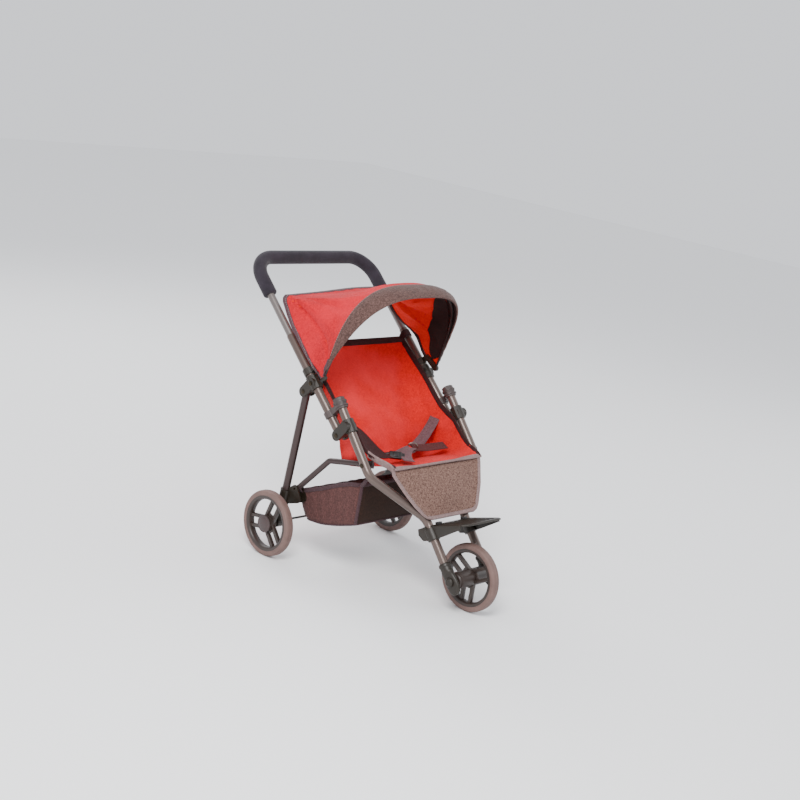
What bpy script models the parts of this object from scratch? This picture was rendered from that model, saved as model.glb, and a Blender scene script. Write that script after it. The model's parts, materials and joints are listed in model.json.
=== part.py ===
"""Folding doll stroller: a three wheeled tube frame with a hammock seat, a canopy and a basket.

Run with: blender --background --python part.py

Metres, +Z up. The stroller faces -Y, its right side is -X, and the origin is on the floor
under the middle of its box. "Side view" points are (y, z) pairs.

The frame is a four-bar linkage on each side: the side tube turns on the fold pivot behind the
front tube, the rear leg hangs from the side tube, and a brace joins the leg's foot to the front
tube. Everything else is fixed to one of those four links.
"""

import math

import bmesh
import bpy
from mathutils import Matrix, Vector

# Driving dimensions
WHEEL_RADIUS = 0.060
TYRE_WIDTH = 0.0165
TYRE_INNER_RADIUS = 0.0505
RIM_INNER_RADIUS = 0.0465
HUB_RADIUS = 0.0150
SPOKE_OFFSET = 0.0095
REAR_WHEEL_X = 0.1594
FRONT_AXLE_AT = (-0.2254, 0.060)
REAR_AXLE_AT = (0.1228, 0.060)
SIDE_TUBE_X = 0.1450
FRONT_TUBE_X = 0.1415
FORK_X = 0.0484
BRACE_X = 0.1280
LEG_TOP_X = 0.1450
LEG_FOOT_X = 0.1355
LEG_FOOT_AT = (0.1140, 0.1173)
FOLD_PIVOT = (-0.0084, 0.2648)
LEG_PIVOT = (0.0864, 0.3161)
BRACE_REAR_PIVOT = (0.0920, 0.1320)
BRACE_FRONT_PIVOT = (-0.0720, 0.2300)
BRACE_BEND = (0.0245, 0.2060)
CANOPY_PIVOT = (0.0500, 0.3500)
HANDLE_CORNER = (0.2732, 0.5133)
FRONT_TUBE_TOP = (0.0094, 0.3202)
SEAT_TOP = (0.1330, 0.3880)
SEAT_FOLD = (0.0020, 0.2180)
SEAT_FRONT = (-0.0935, 0.2335)

TUBE_RADIUS = 0.0078
TUBE_WALL = 0.0008
HANDLE_RADIUS = 0.0067
LEG_RADIUS = 0.0070
BRACE_RADIUS = 0.0051
GRIP_RADIUS = 0.0125
AXLE_RADIUS = 0.0021
RIVET_RADIUS = 0.0021
BOW_RADIUS = 0.0024
GAP = 0.0003
TUBE_SIDES = 12

# How far along its tube, from the fold pivot or the front tube's top, each fitting sits
TELESCOPE_AT = 0.2070
HANDLE_OVERLAP = 0.0250
GRIP_START = 0.2930
LEG_BRACKET_AT = 0.1060
CANOPY_CLIP_AT = 0.1290
LOCK_CLIP_AT = 0.0400
FRONT_BEND_A = 0.1437
FRONT_BEND_B = 0.2339
FORK_TUBE_END = 0.2985
FOOTREST_COLLAR = (0.2500, 0.2740)
FOLD_BRACKET_AT = 0.0490

# Colours
FRAME_METAL = (0.24, 0.22, 0.21)
BRACKET_PLASTIC = (0.075, 0.065, 0.045)
CLIP_PLASTIC = (0.15, 0.13, 0.125)
FOAM = (0.045, 0.045, 0.060)
TYRE_GREY = (0.30, 0.23, 0.22)
RIM_BROWN = (0.060, 0.048, 0.045)
RED_FABRIC = (0.72, 0.07, 0.09)
GREY_FABRIC = (0.22, 0.17, 0.155)
BASKET_FABRIC = (0.15, 0.10, 0.10)
WEBBING = (0.30, 0.23, 0.24)
BUCKLE_BLACK = (0.02, 0.02, 0.02)
STEEL = (0.55, 0.54, 0.53)

SIDES = {"right": -1, "left": 1}


def clear_scene():
    for obj in list(bpy.data.objects):
        bpy.data.objects.remove(obj, do_unlink=True)


def new_collection(name):
    collection = bpy.data.collections.new(name)
    bpy.context.scene.collection.children.link(collection)
    return collection


clear_scene()
PARTS = new_collection("doll_stroller")
CUTTERS = new_collection("cutters")
CUTTERS.hide_render = True
MATERIALS = {}


# Side view geometry

def direction(start, end):
    """Unit vector between two side view points."""
    length = math.dist(start, end)
    return ((end[0] - start[0]) / length, (end[1] - start[1]) / length)


def along(start, heading, distance, across=0.0):
    """The side view point at this distance along a heading, and this far to its upper side."""
    upward = (-heading[1], heading[0]) if heading[0] > 0 else (heading[1], -heading[0])
    return (
        start[0] + heading[0] * distance + upward[0] * across,
        start[1] + heading[1] * distance + upward[1] * across,
    )


SIDE_HEADING = direction(FOLD_PIVOT, HANDLE_CORNER)
FRONT_HEADING = direction(FRONT_TUBE_TOP, FRONT_AXLE_AT)
LEG_HEADING = direction(LEG_PIVOT, REAR_AXLE_AT)
HANDLE_LENGTH = math.dist(FOLD_PIVOT, HANDLE_CORNER)


def on_side_tube(distance, across=0.0):
    return along(FOLD_PIVOT, SIDE_HEADING, distance, across)


def on_front_tube(distance, across=0.0):
    return along(FRONT_TUBE_TOP, FRONT_HEADING, distance, across)


def at(x, point):
    return Vector((x, point[0], point[1]))


# Modelling helpers

def material_of(name, colour, roughness, metallic=0.0):
    key = (colour, roughness, metallic)
    if key not in MATERIALS:
        made = bpy.data.materials.new(name)
        made.use_nodes = True
        shader = made.node_tree.nodes["Principled BSDF"]
        shader.inputs["Base Color"].default_value = (*colour, 1.0)
        shader.inputs["Roughness"].default_value = roughness
        shader.inputs["Metallic"].default_value = metallic
        MATERIALS[key] = made
    return MATERIALS[key]


def finish(obj, colour, roughness, metallic=0.0, parent=None):
    """Gives a part its material, smooth shading and parent."""
    obj.data.materials.clear()
    obj.data.materials.append(material_of(obj.name, colour, roughness, metallic))
    obj.data.shade_smooth()
    obj.data.set_sharp_from_angle(angle=math.radians(40))
    if parent:
        obj.parent = parent
        obj.matrix_parent_inverse = parent.matrix_world.inverted()
    return obj


def pivot_empty(name, x, point, parent=None):
    empty = bpy.data.objects.new(name, None)
    empty.location = at(x, point)
    empty.empty_display_size = 0.02
    PARTS.objects.link(empty)
    bpy.context.view_layer.update()
    if parent:
        world = empty.matrix_world.copy()
        empty.parent = parent
        empty.matrix_parent_inverse = parent.matrix_world.inverted()
        empty.matrix_world = world
        bpy.context.view_layer.update()
    return empty


def mesh_object(name, build):
    """A mesh object in the parts collection, filled by a function that takes a bmesh."""
    mesh = bpy.data.meshes.new(name)
    work = bmesh.new()
    build(work)
    bmesh.ops.recalc_face_normals(work, faces=work.faces)
    work.to_mesh(mesh)
    work.free()
    obj = bpy.data.objects.new(name, mesh)
    PARTS.objects.link(obj)
    return obj


def curve_to_mesh(obj):
    """Replaces a curve object by a welded mesh object of the same name and place."""
    bpy.context.view_layer.update()
    evaluated = obj.evaluated_get(bpy.context.evaluated_depsgraph_get())
    mesh = bpy.data.meshes.new_from_object(evaluated)
    name, matrix = obj.name, obj.matrix_world.copy()
    work = bmesh.new()
    work.from_mesh(mesh)
    bmesh.ops.remove_doubles(work, verts=work.verts, dist=1e-6)
    work.to_mesh(mesh)
    work.free()
    bpy.data.objects.remove(obj, do_unlink=True)
    made = bpy.data.objects.new(name, mesh)
    made.matrix_world = matrix
    PARTS.objects.link(made)
    return made


def swept(name, path, radius, wall=0.0, sides=TUBE_SIDES):
    """A round bar, or a tube with open ends when wall is given, along a path of points."""
    curve = bpy.data.curves.new(name, "CURVE")
    curve.dimensions = "3D"
    curve.bevel_depth = radius
    curve.bevel_resolution = sides // 2 - 2
    curve.use_fill_caps = not wall
    spline = curve.splines.new("POLY")
    spline.points.add(len(path) - 1)
    for point, place in zip(spline.points, path):
        point.co = (*place, 1.0)
    obj = bpy.data.objects.new(name, curve)
    PARTS.objects.link(obj)
    made = curve_to_mesh(obj)
    if wall:
        shell = made.modifiers.new("wall", "SOLIDIFY")
        shell.thickness = wall
        shell.offset = -1.0
    return made


def rounded_path(corners, radius, steps=4):
    """A path through these corner points with each inner corner turned into an arc."""
    path = [Vector(corners[0])]
    for before, corner, after in zip(corners, corners[1:], corners[2:]):
        corner = Vector(corner)
        arrive = (corner - Vector(before)).normalized()
        leave = (Vector(after) - corner).normalized()
        turn = arrive.angle(leave)
        inset = radius * math.tan(turn / 2)
        start = corner - arrive * inset
        centre_way = (leave - arrive).normalized()
        centre = corner + centre_way * (radius / math.cos(turn / 2))
        axis = arrive.cross(leave).normalized()
        for step in range(steps + 1):
            spin = Matrix.Rotation(turn * step / steps, 3, axis)
            path.append(centre + spin @ (start - centre))
    path.append(Vector(corners[-1]))
    return path


def cylinder_x(name, x_from, x_to, point, radius, segments=16):
    """A cylinder along X between two x values, round a side view point."""
    def build(work):
        turn = Matrix.Rotation(math.pi / 2, 4, "Y")
        move = Matrix.Translation(at((x_from + x_to) / 2, point))
        bmesh.ops.create_cone(
            work, cap_ends=True, segments=segments, radius1=radius, radius2=radius,
            depth=abs(x_to - x_from), matrix=move @ turn,
        )
    return mesh_object(name, build)


def cylinder_between(name, start, end, radius, segments=16):
    start, end = Vector(start), Vector(end)
    def build(work):
        turn = (end - start).to_track_quat("Z", "Y").to_matrix().to_4x4()
        bmesh.ops.create_cone(
            work, cap_ends=True, segments=segments, radius1=radius, radius2=radius,
            depth=(end - start).length, matrix=Matrix.Translation((start + end) / 2) @ turn,
        )
    return mesh_object(name, build)


def box_between(name, lowest, highest):
    lowest, highest = Vector(lowest), Vector(highest)
    def build(work):
        size = Matrix.Diagonal((*(highest - lowest), 1.0))
        move = Matrix.Translation((lowest + highest) / 2)
        bmesh.ops.create_cube(work, size=1.0, matrix=move @ size)
    return mesh_object(name, build)


def slab(name, start, end, half_width, thickness):
    """A flat board across the stroller whose section runs between two side view points."""
    heading = direction(start, end)
    middle = ((start[0] + end[0]) / 2, (start[1] + end[1]) / 2)
    def build(work):
        size = Matrix.Diagonal((2 * half_width, math.dist(start, end), thickness, 1.0))
        tilt = Matrix.Rotation(math.atan2(heading[1], heading[0]), 4, "X")
        move = Matrix.Translation(at(0, middle))
        bmesh.ops.create_cube(work, size=1.0, matrix=move @ tilt @ size)
    return mesh_object(name, build)


def turns_left(a, b, c):
    return (b[0] - a[0]) * (c[1] - a[1]) - (b[1] - a[1]) * (c[0] - a[0]) > 1e-12


def half_hull(ordered):
    chain = []
    for point in ordered:
        while len(chain) > 1 and not turns_left(chain[-2], chain[-1], point):
            chain.pop()
        chain.append(point)
    return chain[:-1]


def hull_outline(circles, steps=16):
    """The convex outline round a set of circles, each (side view point, radius)."""
    points = []
    for centre, radius in circles:
        for step in range(steps):
            angle = step * math.tau / steps
            points.append((centre[0] + radius * math.cos(angle), centre[1] + radius * math.sin(angle)))
    points.sort()
    return half_hull(points) + half_hull(points[::-1])


def plate(name, outline, x_from, x_to):
    """A flat outline in the side view, extruded between two x values."""
    curve = bpy.data.curves.new(name, "CURVE")
    curve.dimensions = "2D"
    curve.fill_mode = "BOTH"
    curve.extrude = abs(x_to - x_from) / 2
    spline = curve.splines.new("POLY")
    spline.points.add(len(outline) - 1)
    for point, place in zip(spline.points, outline):
        point.co = (place[0], place[1], 0.0, 1.0)
    spline.use_cyclic_u = True
    obj = bpy.data.objects.new(name, curve)
    obj.rotation_euler = (math.pi / 2, 0, math.pi / 2)
    obj.location = ((x_from + x_to) / 2, 0, 0)
    PARTS.objects.link(obj)
    return curve_to_mesh(obj)


def combine(obj, operation, others):
    """Joins to or cuts from obj each of the other objects, which become helpers."""
    for other in others:
        change = obj.modifiers.new(operation.lower(), "BOOLEAN")
        change.operation = operation
        change.object = other
        change.solver = "EXACT"
        other.hide_render = True
        other.display_type = "WIRE"
        PARTS.objects.unlink(other)
        CUTTERS.objects.link(other)
    return obj


def turned_x(name, profile, x, point, steps=36, flip=False):
    """A turned shape round an axis along X. The profile is (radius, distance along the axis)."""
    mesh = bpy.data.meshes.new(name)
    work = bmesh.new()
    verts = [work.verts.new((radius, 0.0, height)) for radius, height in profile]
    for a, b in zip(verts, verts[1:] + verts[:1]):
        work.edges.new((a, b))
    work.to_mesh(mesh)
    work.free()
    obj = bpy.data.objects.new(name, mesh)
    obj.rotation_euler = (0, -math.pi / 2 if flip else math.pi / 2, 0)
    obj.location = at(x, point)
    PARTS.objects.link(obj)
    screw = obj.modifiers.new("turn", "SCREW")
    screw.steps = steps
    screw.render_steps = steps
    screw.use_merge_vertices = True
    screw.merge_threshold = 0.00001
    return obj


# Handle and side tubes

def handle_point(x, distance):
    return at(x, on_side_tube(distance))


def make_handle(parent):
    corner_radius = 0.030
    start = TELESCOPE_AT - HANDLE_OVERLAP
    corners = [
        handle_point(-SIDE_TUBE_X, start),
        handle_point(-SIDE_TUBE_X, HANDLE_LENGTH),
        handle_point(SIDE_TUBE_X, HANDLE_LENGTH),
        handle_point(SIDE_TUBE_X, start),
    ]
    tube = swept("handle_tube", rounded_path(corners, corner_radius), HANDLE_RADIUS, TUBE_WALL)
    finish(tube, FRAME_METAL, 0.35, 0.8, parent)
    grip_corners = [handle_point(c.x, GRIP_START) if i in (0, 3) else c for i, c in enumerate(corners)]
    bore = HANDLE_RADIUS + GAP
    grip = swept("handle_grip", rounded_path(grip_corners, corner_radius), GRIP_RADIUS, GRIP_RADIUS - bore)
    finish(grip, FOAM, 0.9, 0.0, parent)


def make_side_tube(side, sign, parent):
    x = sign * SIDE_TUBE_X
    overhang = 0.006
    path = [handle_point(x, -overhang), handle_point(x, TELESCOPE_AT)]
    tube = swept(f"side_tube_{side}", path, TUBE_RADIUS, TUBE_WALL)
    holes = [
        rivet_hole(f"cut_fold_{side}", x, FOLD_PIVOT),
        rivet_hole(f"cut_pin_{side}", x, on_side_tube(LEG_BRACKET_AT)),
    ]
    combine(tube, "DIFFERENCE", holes)
    finish(tube, FRAME_METAL, 0.35, 0.8, parent)


def collar_on(place, name, x, start, end, outer):
    """A collar on the tube whose centre line place() follows, and the cutter of its bore."""
    collar = cylinder_between(name, at(x, place(start)), at(x, place(end)), outer)
    low, high = at(x, place(start - 0.02)), at(x, place(end + 0.02))
    return collar, cylinder_between(f"{name}_bore", low, high, TUBE_RADIUS + GAP)


def rivet_hole(name, x, point):
    return cylinder_x(name, x - 0.02, x + 0.02, point, RIVET_RADIUS + GAP, 10)


def make_leg_bracket(side, sign, parent):
    """Collar on the side tube whose two ears hold the rear leg's top end."""
    x = sign * SIDE_TUBE_X
    ear_inner, ear_outer = 0.0074, 0.0106
    centre = on_side_tube(LEG_BRACKET_AT)
    low, high = LEG_BRACKET_AT - 0.013, LEG_BRACKET_AT + 0.013
    collar, bore = collar_on(on_side_tube, f"leg_bracket_{side}", x, low, high, 0.0112)
    ear_outline = hull_outline([(centre, 0.0098), (LEG_PIVOT, 0.0095)])
    ears = plate(f"leg_ears_{side}", ear_outline, x - ear_outer, x + ear_outer)
    below = along(LEG_PIVOT, LEG_HEADING, 0.03)
    slot_outline = hull_outline([(LEG_PIVOT, 0.0125), (below, 0.0125)])
    slot = plate(f"leg_slot_{side}", slot_outline, x - ear_inner, x + ear_inner)
    holes = [
        rivet_hole(f"leg_hole_{side}", x, LEG_PIVOT),
        rivet_hole(f"leg_pin_hole_{side}", x, centre),
    ]
    combine(collar, "UNION", [ears])
    combine(collar, "DIFFERENCE", [slot, bore, *holes])
    finish(collar, BRACKET_PLASTIC, 0.55, 0.0, parent)


def make_canopy_clip(side, sign, parent):
    """Collar on the side tube with a cranked lug that holds the end of the canopy bow."""
    x = sign * SIDE_TUBE_X
    low, high = CANOPY_CLIP_AT - 0.006, CANOPY_CLIP_AT + 0.006
    collar, bore = collar_on(on_side_tube, f"canopy_clip_{side}", x, low, high, 0.0102)
    foot, knee = on_side_tube(CANOPY_CLIP_AT), on_side_tube(CANOPY_CLIP_AT, 0.020)
    post = plate(f"canopy_post_{side}", hull_outline([(foot, 0.005), (knee, 0.005)]), x - 0.003, x + 0.003)
    lug_outline = hull_outline([(knee, 0.005), (CANOPY_PIVOT, 0.0055)])
    lug = plate(f"canopy_lug_{side}", lug_outline, x - 0.0026, x + 0.0026)
    combine(collar, "UNION", [post, lug])
    combine(collar, "DIFFERENCE", [bore])
    finish(collar, BRACKET_PLASTIC, 0.55, 0.0, parent)


def make_rivet(name, x_from, x_to, point, parent):
    """A rivet along X: a shaft with a low head beyond each end."""
    low, high = min(x_from, x_to), max(x_from, x_to)
    end = high - low + GAP
    rim, crown, head = 0.0042, 0.0026, 0.0012
    profile = [
        (0.0, end + head), (crown, end + head), (rim, end + head / 3), (rim, end),
        (RIVET_RADIUS, end), (RIVET_RADIUS, -GAP),
        (rim, -GAP), (rim, -GAP - head / 3), (crown, -GAP - head), (0.0, -GAP - head),
    ]
    rivet = turned_x(name, profile, low, point, 10)
    open_profile(rivet)
    finish(rivet, STEEL, 0.3, 1.0, parent)


def open_profile(obj):
    """Takes out the edge that closes a profile along the axis, where the turned shape is solid."""
    work = bmesh.new()
    work.from_mesh(obj.data)
    work.edges.ensure_lookup_table()
    on_axis = [e for e in work.edges if all(abs(v.co.x) < 1e-9 for v in e.verts)]
    bmesh.ops.delete(work, geom=on_axis, context="EDGES")
    work.to_mesh(obj.data)
    work.free()


# Front frame

def make_front_tube(side, sign, parent):
    straight = sign * FRONT_TUBE_X
    fork = sign * FORK_X
    corners = [
        at(straight, on_front_tube(0.0)),
        at(straight, on_front_tube(FRONT_BEND_A)),
        at(fork, on_front_tube(FRONT_BEND_B)),
        at(fork, on_front_tube(FORK_TUBE_END)),
    ]
    tube = swept(f"front_tube_{side}", rounded_path(corners, 0.022), TUBE_RADIUS, TUBE_WALL)
    combine(tube, "DIFFERENCE", [rivet_hole(f"cut_brace_{side}", straight, BRACE_FRONT_PIVOT)])
    finish(tube, FRAME_METAL, 0.35, 0.8, parent)


def make_fold_bracket(side, sign, parent):
    """Collar on the front tube whose two ears hold the side tube's lower end."""
    x = sign * FRONT_TUBE_X
    ear_x = sign * SIDE_TUBE_X
    low, high = FOLD_BRACKET_AT - 0.012, FOLD_BRACKET_AT + 0.012
    collar, bore = collar_on(on_front_tube, f"fold_bracket_{side}", x, low, high, 0.0112)
    centre = on_front_tube(FOLD_BRACKET_AT)
    outline = hull_outline([(centre, 0.0095), (FOLD_PIVOT, 0.0095)])
    ears = plate(f"fold_ears_{side}", outline, ear_x - 0.0114, ear_x + 0.0114)
    swing = [(FOLD_PIVOT, 0.0118), (on_side_tube(0.05), 0.0118), (on_side_tube(0.0, -0.05), 0.0118)]
    slot = plate(f"fold_slot_{side}", hull_outline(swing), ear_x - 0.0082, ear_x + 0.0082)
    combine(collar, "UNION", [ears])
    combine(collar, "DIFFERENCE", [slot, bore, rivet_hole(f"fold_hole_{side}", ear_x, FOLD_PIVOT)])
    finish(collar, BRACKET_PLASTIC, 0.55, 0.0, parent)


def box_across(name, x, point, heading, length, width, depth):
    """A box round a side view point: length along the heading, width along X, depth across."""
    centre = along(point, heading, 0.0, (depth[0] + depth[1]) / 2)
    def build(work):
        size = Matrix.Diagonal((width, length, depth[1] - depth[0], 1.0))
        tilt = Matrix.Rotation(math.atan2(heading[1], heading[0]), 4, "X")
        move = Matrix.Translation(at(x, centre))
        bmesh.ops.create_cube(work, size=1.0, matrix=move @ tilt @ size)
    return mesh_object(name, build)


def make_lock_clip(side, sign, parent):
    """Cap on the front tube's top with an arm to an open clip that snaps round the side tube."""
    x = sign * FRONT_TUBE_X
    grip_x = sign * SIDE_TUBE_X
    bore = TUBE_RADIUS + GAP
    low, high = on_front_tube(-0.004), on_front_tube(0.015)
    cap = cylinder_between(f"lock_clip_{side}", at(x, low), at(x, high), 0.0106)
    low, high = on_front_tube(0.002), on_front_tube(0.006)
    rib = cylinder_between(f"lock_rib_{side}", at(x, low), at(x, high), 0.0116)
    grip = on_side_tube(LOCK_CLIP_AT)
    arm_outline = hull_outline([(on_front_tube(0.0095), 0.005), (on_side_tube(LOCK_CLIP_AT, 0.004), 0.005)])
    arm = plate(f"lock_arm_{side}", arm_outline, grip_x - 0.0062, grip_x + 0.0062)
    low, high = on_side_tube(LOCK_CLIP_AT - 0.006), on_side_tube(LOCK_CLIP_AT + 0.006)
    jaw = cylinder_between(f"lock_jaw_{side}", at(grip_x, low), at(grip_x, high), 0.0112)
    mouth = box_across(f"lock_mouth_{side}", grip_x, grip, SIDE_HEADING, 0.04, 0.0154, (-0.04, 0.0))
    behind = box_across(f"lock_behind_{side}", grip_x, grip, SIDE_HEADING, 0.04, 0.04, (-0.04, -0.004))
    low, high = on_side_tube(LOCK_CLIP_AT - 0.02), on_side_tube(LOCK_CLIP_AT + 0.02)
    seat = cylinder_between(f"lock_seat_{side}", at(grip_x, low), at(grip_x, high), bore)
    low, high = on_front_tube(-0.0012), on_front_tube(0.03)
    blind = cylinder_between(f"lock_bore_{side}", at(x, low), at(x, high), bore)
    combine(cap, "UNION", [rib, arm, jaw])
    combine(cap, "DIFFERENCE", [blind, seat, mouth, behind])
    finish(cap, CLIP_PLASTIC, 0.5, 0.0, parent)


def make_fork_end(side, sign, parent):
    """Plastic end on the fork tube: a collar that thins to a flat eye round the front axle."""
    x = sign * FORK_X
    low, high = on_front_tube(FORK_TUBE_END - 0.018), on_front_tube(FORK_TUBE_END + 0.006)
    collar = cylinder_between(f"fork_end_{side}", at(x, low), at(x, high), 0.0108)
    outline = hull_outline([(on_front_tube(FORK_TUBE_END + 0.002), 0.0098), (FRONT_AXLE_AT, 0.0105)])
    eye = plate(f"fork_eye_{side}", outline, x - 0.0052, x + 0.0052)
    low, high = on_front_tube(FORK_TUBE_END - 0.03), on_front_tube(FORK_TUBE_END + GAP)
    blind = cylinder_between(f"fork_bore_{side}", at(x, low), at(x, high), TUBE_RADIUS + GAP)
    hole = cylinder_x(f"fork_hole_{side}", x - 0.02, x + 0.02, FRONT_AXLE_AT, AXLE_RADIUS + GAP, 12)
    combine(collar, "UNION", [eye])
    combine(collar, "DIFFERENCE", [blind, hole])
    finish(collar, BRACKET_PLASTIC, 0.55, 0.0, parent)


FOOTREST_REAR = (-0.1560, 0.1395)
FOOTREST_FRONT = (-0.2370, 0.1660)
FOOTREST_HALF = 0.0550


def make_footrest(parent):
    """Tray ahead of the fork tubes: a deck, two tapered skirts and a collar round each tube."""
    heading = direction(FOOTREST_REAR, FOOTREST_FRONT)
    deck = slab("footrest", FOOTREST_REAR, FOOTREST_FRONT, FOOTREST_HALF, 0.0040)
    skirt_outline = [
        along(FOOTREST_REAR, heading, -0.006, -0.001), along(FOOTREST_FRONT, heading, 0.0, -0.001),
        along(FOOTREST_FRONT, heading, 0.0, -0.005), (-0.168, 0.1150), (-0.1440, 0.1150),
    ]
    skirts, bores = [], []
    for side, sign in SIDES.items():
        x = sign * (FOOTREST_HALF - 0.0018)
        skirts.append(plate(f"footrest_skirt_{side}", skirt_outline, x - 0.0018, x + 0.0018))
        low, high = FOOTREST_COLLAR
        collar, bore = collar_on(
            on_front_tube, f"footrest_collar_{side}", sign * FORK_X, low, high, 0.0122
        )
        skirts.append(collar)
        bores.append(bore)
    combine(deck, "UNION", skirts)
    combine(deck, "DIFFERENCE", bores)
    finish(deck, BRACKET_PLASTIC, 0.5, 0.0, parent)


# Rear legs and brace

def leg_point(distance):
    """A point on the rear leg's centre line, which leans inward towards the foot."""
    reach = math.dist(LEG_PIVOT, LEG_FOOT_AT)
    x = LEG_TOP_X + (LEG_FOOT_X - LEG_TOP_X) * distance / reach
    return x, along(LEG_PIVOT, LEG_HEADING, distance)


LEG_END = math.dist(LEG_PIVOT, REAR_AXLE_AT) - 0.014
FOOT_LOBE_AT = (0.0835, 0.1170)
FOOT_TOP = math.dist(LEG_PIVOT, REAR_AXLE_AT) - 0.066


def mirrored(sign, x_and_point):
    return at(sign * x_and_point[0], x_and_point[1])


def make_rear_leg(side, sign, parent):
    path = [mirrored(sign, leg_point(-0.006)), mirrored(sign, leg_point(LEG_END))]
    leg = swept(f"rear_leg_{side}", path, LEG_RADIUS, TUBE_WALL)
    combine(leg, "DIFFERENCE", [rivet_hole(f"cut_leg_{side}", sign * LEG_TOP_X, LEG_PIVOT)])
    finish(leg, FRAME_METAL, 0.35, 0.8, parent)


def make_rear_foot(side, sign, parent):
    """Plastic foot on the leg's end: a sleeve, a boss for the axle and a forked lug for the brace."""
    foot_x = sign * leg_point(LEG_END)[0]
    brace_x = sign * BRACE_X
    top, end = leg_point(FOOT_TOP), leg_point(LEG_END + 0.012)
    body = cylinder_between(f"rear_foot_{side}", mirrored(sign, top), mirrored(sign, end), 0.0096)
    boss = cylinder_x(f"foot_boss_{side}", foot_x - 0.0098, foot_x + 0.0098, REAR_AXLE_AT, 0.0100)
    outline = hull_outline([
        (BRACE_REAR_PIVOT, 0.0072), (FOOT_LOBE_AT, 0.0090),
        (along(top[1], LEG_HEADING, 0.010), 0.0060), (along(top[1], LEG_HEADING, 0.024), 0.0060),
    ])
    lug = plate(f"foot_lug_{side}", outline, brace_x - 0.0082, brace_x + 0.0082)
    slot_x = sorted((brace_x - 0.0055, brace_x + 0.0055))
    slot = box_between(f"foot_slot_{side}", (slot_x[0], 0.060, 0.095), (slot_x[1], 0.1035, 0.160))
    low, high = leg_point(FOOT_TOP - 0.02), leg_point(LEG_END + GAP)
    bore = cylinder_between(
        f"foot_bore_{side}", mirrored(sign, low), mirrored(sign, high), LEG_RADIUS + GAP
    )
    hole = cylinder_x(f"foot_hole_{side}", foot_x - 0.03, foot_x + 0.03, REAR_AXLE_AT, AXLE_RADIUS + GAP, 12)
    pin = rivet_hole(f"foot_rivet_{side}", brace_x, BRACE_REAR_PIVOT)
    combine(body, "UNION", [boss, lug])
    combine(body, "DIFFERENCE", [slot, bore, hole, pin])
    finish(body, BRACKET_PLASTIC, 0.55, 0.0, parent)


def make_brace(side, sign, parent):
    x = sign * BRACE_X
    rear_end = along(BRACE_REAR_PIVOT, direction(BRACE_BEND, BRACE_REAR_PIVOT), -0.0062)
    front_end = along(BRACE_FRONT_PIVOT, direction(BRACE_BEND, BRACE_FRONT_PIVOT), 0.0070)
    path = rounded_path([at(x, rear_end), at(x, BRACE_BEND), at(x, front_end)], 0.016, 4)
    brace = swept(f"brace_{side}", path, BRACE_RADIUS, sides=12)
    combine(brace, "DIFFERENCE", [rivet_hole(f"cut_brace_front_{side}", x, BRACE_FRONT_PIVOT)])
    finish(brace, FRAME_METAL, 0.35, 0.8, parent)


CROSSBAR_AT = (0.0040, 0.2111)


def make_crossbar(parent):
    """Bar under the back of the seat, between the two braces."""
    reach = BRACE_X - BRACE_RADIUS - GAP
    bar = cylinder_x("seat_crossbar", -reach, reach, CROSSBAR_AT, 0.0040, 14)
    finish(bar, FRAME_METAL, 0.35, 0.8, parent)


# Wheels

def make_tyre(name, x, point, parent):
    half, outer, inner = TYRE_WIDTH / 2, WHEEL_RADIUS, TYRE_INNER_RADIUS
    profile = [
        (outer, half - 0.0045), (outer, -half + 0.0045), (outer - 0.0022, -half + 0.0010),
        (outer - 0.0050, -half), (inner, -half), (inner, half),
        (outer - 0.0050, half), (outer - 0.0022, half - 0.0010),
    ]
    finish(turned_x(name, profile, x, point), TYRE_GREY, 0.7, 0.0, parent)


def make_rim(name, x, point, hub_half, first_spoke, parent):
    """Wheel centre: a ring under the tyre, a hub and three pairs of spokes."""
    half, outer, inner = TYRE_WIDTH / 2 - 0.0012, TYRE_INNER_RADIUS - GAP, RIM_INNER_RADIUS
    ring = turned_x(name, [(outer, half), (outer, -half), (inner, -half), (inner, half)], x, point)
    hub = cylinder_x(f"{name}_hub", x - hub_half, x + hub_half, point, HUB_RADIUS, 20)
    spokes = []
    for pair in range(3):
        turn = Matrix.Rotation(math.radians(first_spoke + 120 * pair), 4, "X")
        for hand, offset in (("a", -SPOKE_OFFSET), ("b", SPOKE_OFFSET)):
            lowest = (-0.0037, offset - 0.0022, 0.0080)
            highest = (0.0037, offset + 0.0022, 0.0474)
            spoke = box_between(f"{name}_spoke_{pair}_{hand}", lowest, highest)
            spoke.matrix_world = Matrix.Translation(at(x, point)) @ turn
            spokes.append(spoke)
    end = hub_half + 0.01
    bore = cylinder_x(f"{name}_bore", x - end, x + end, point, AXLE_RADIUS + GAP, 12)
    combine(ring, "UNION", [hub, *spokes])
    combine(ring, "DIFFERENCE", [bore])
    finish(ring, RIM_BROWN, 0.5, 0.0, parent)


def make_axle(name, reach, point, parent):
    finish(cylinder_x(name, -reach, reach, point, AXLE_RADIUS, 12), STEEL, 0.3, 1.0, parent)


def make_hub_cap(name, x, sign, point, parent):
    """Push-on cap over an axle end, against the wheel's outer face."""
    radius, depth, bore, seat = 0.0082, 0.0040, AXLE_RADIUS + GAP, 0.0022
    profile = [
        (0.0, depth), (radius * 0.70, depth), (radius, depth * 0.55),
        (radius, 0.0), (bore, 0.0), (bore, seat), (0.0, seat),
    ]
    cap = turned_x(name, profile, x, point, 16, flip=sign < 0)
    open_profile(cap)
    finish(cap, RIM_BROWN, 0.5, 0.0, parent)


# Soft parts

SEAT_HALF = 0.1205


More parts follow.
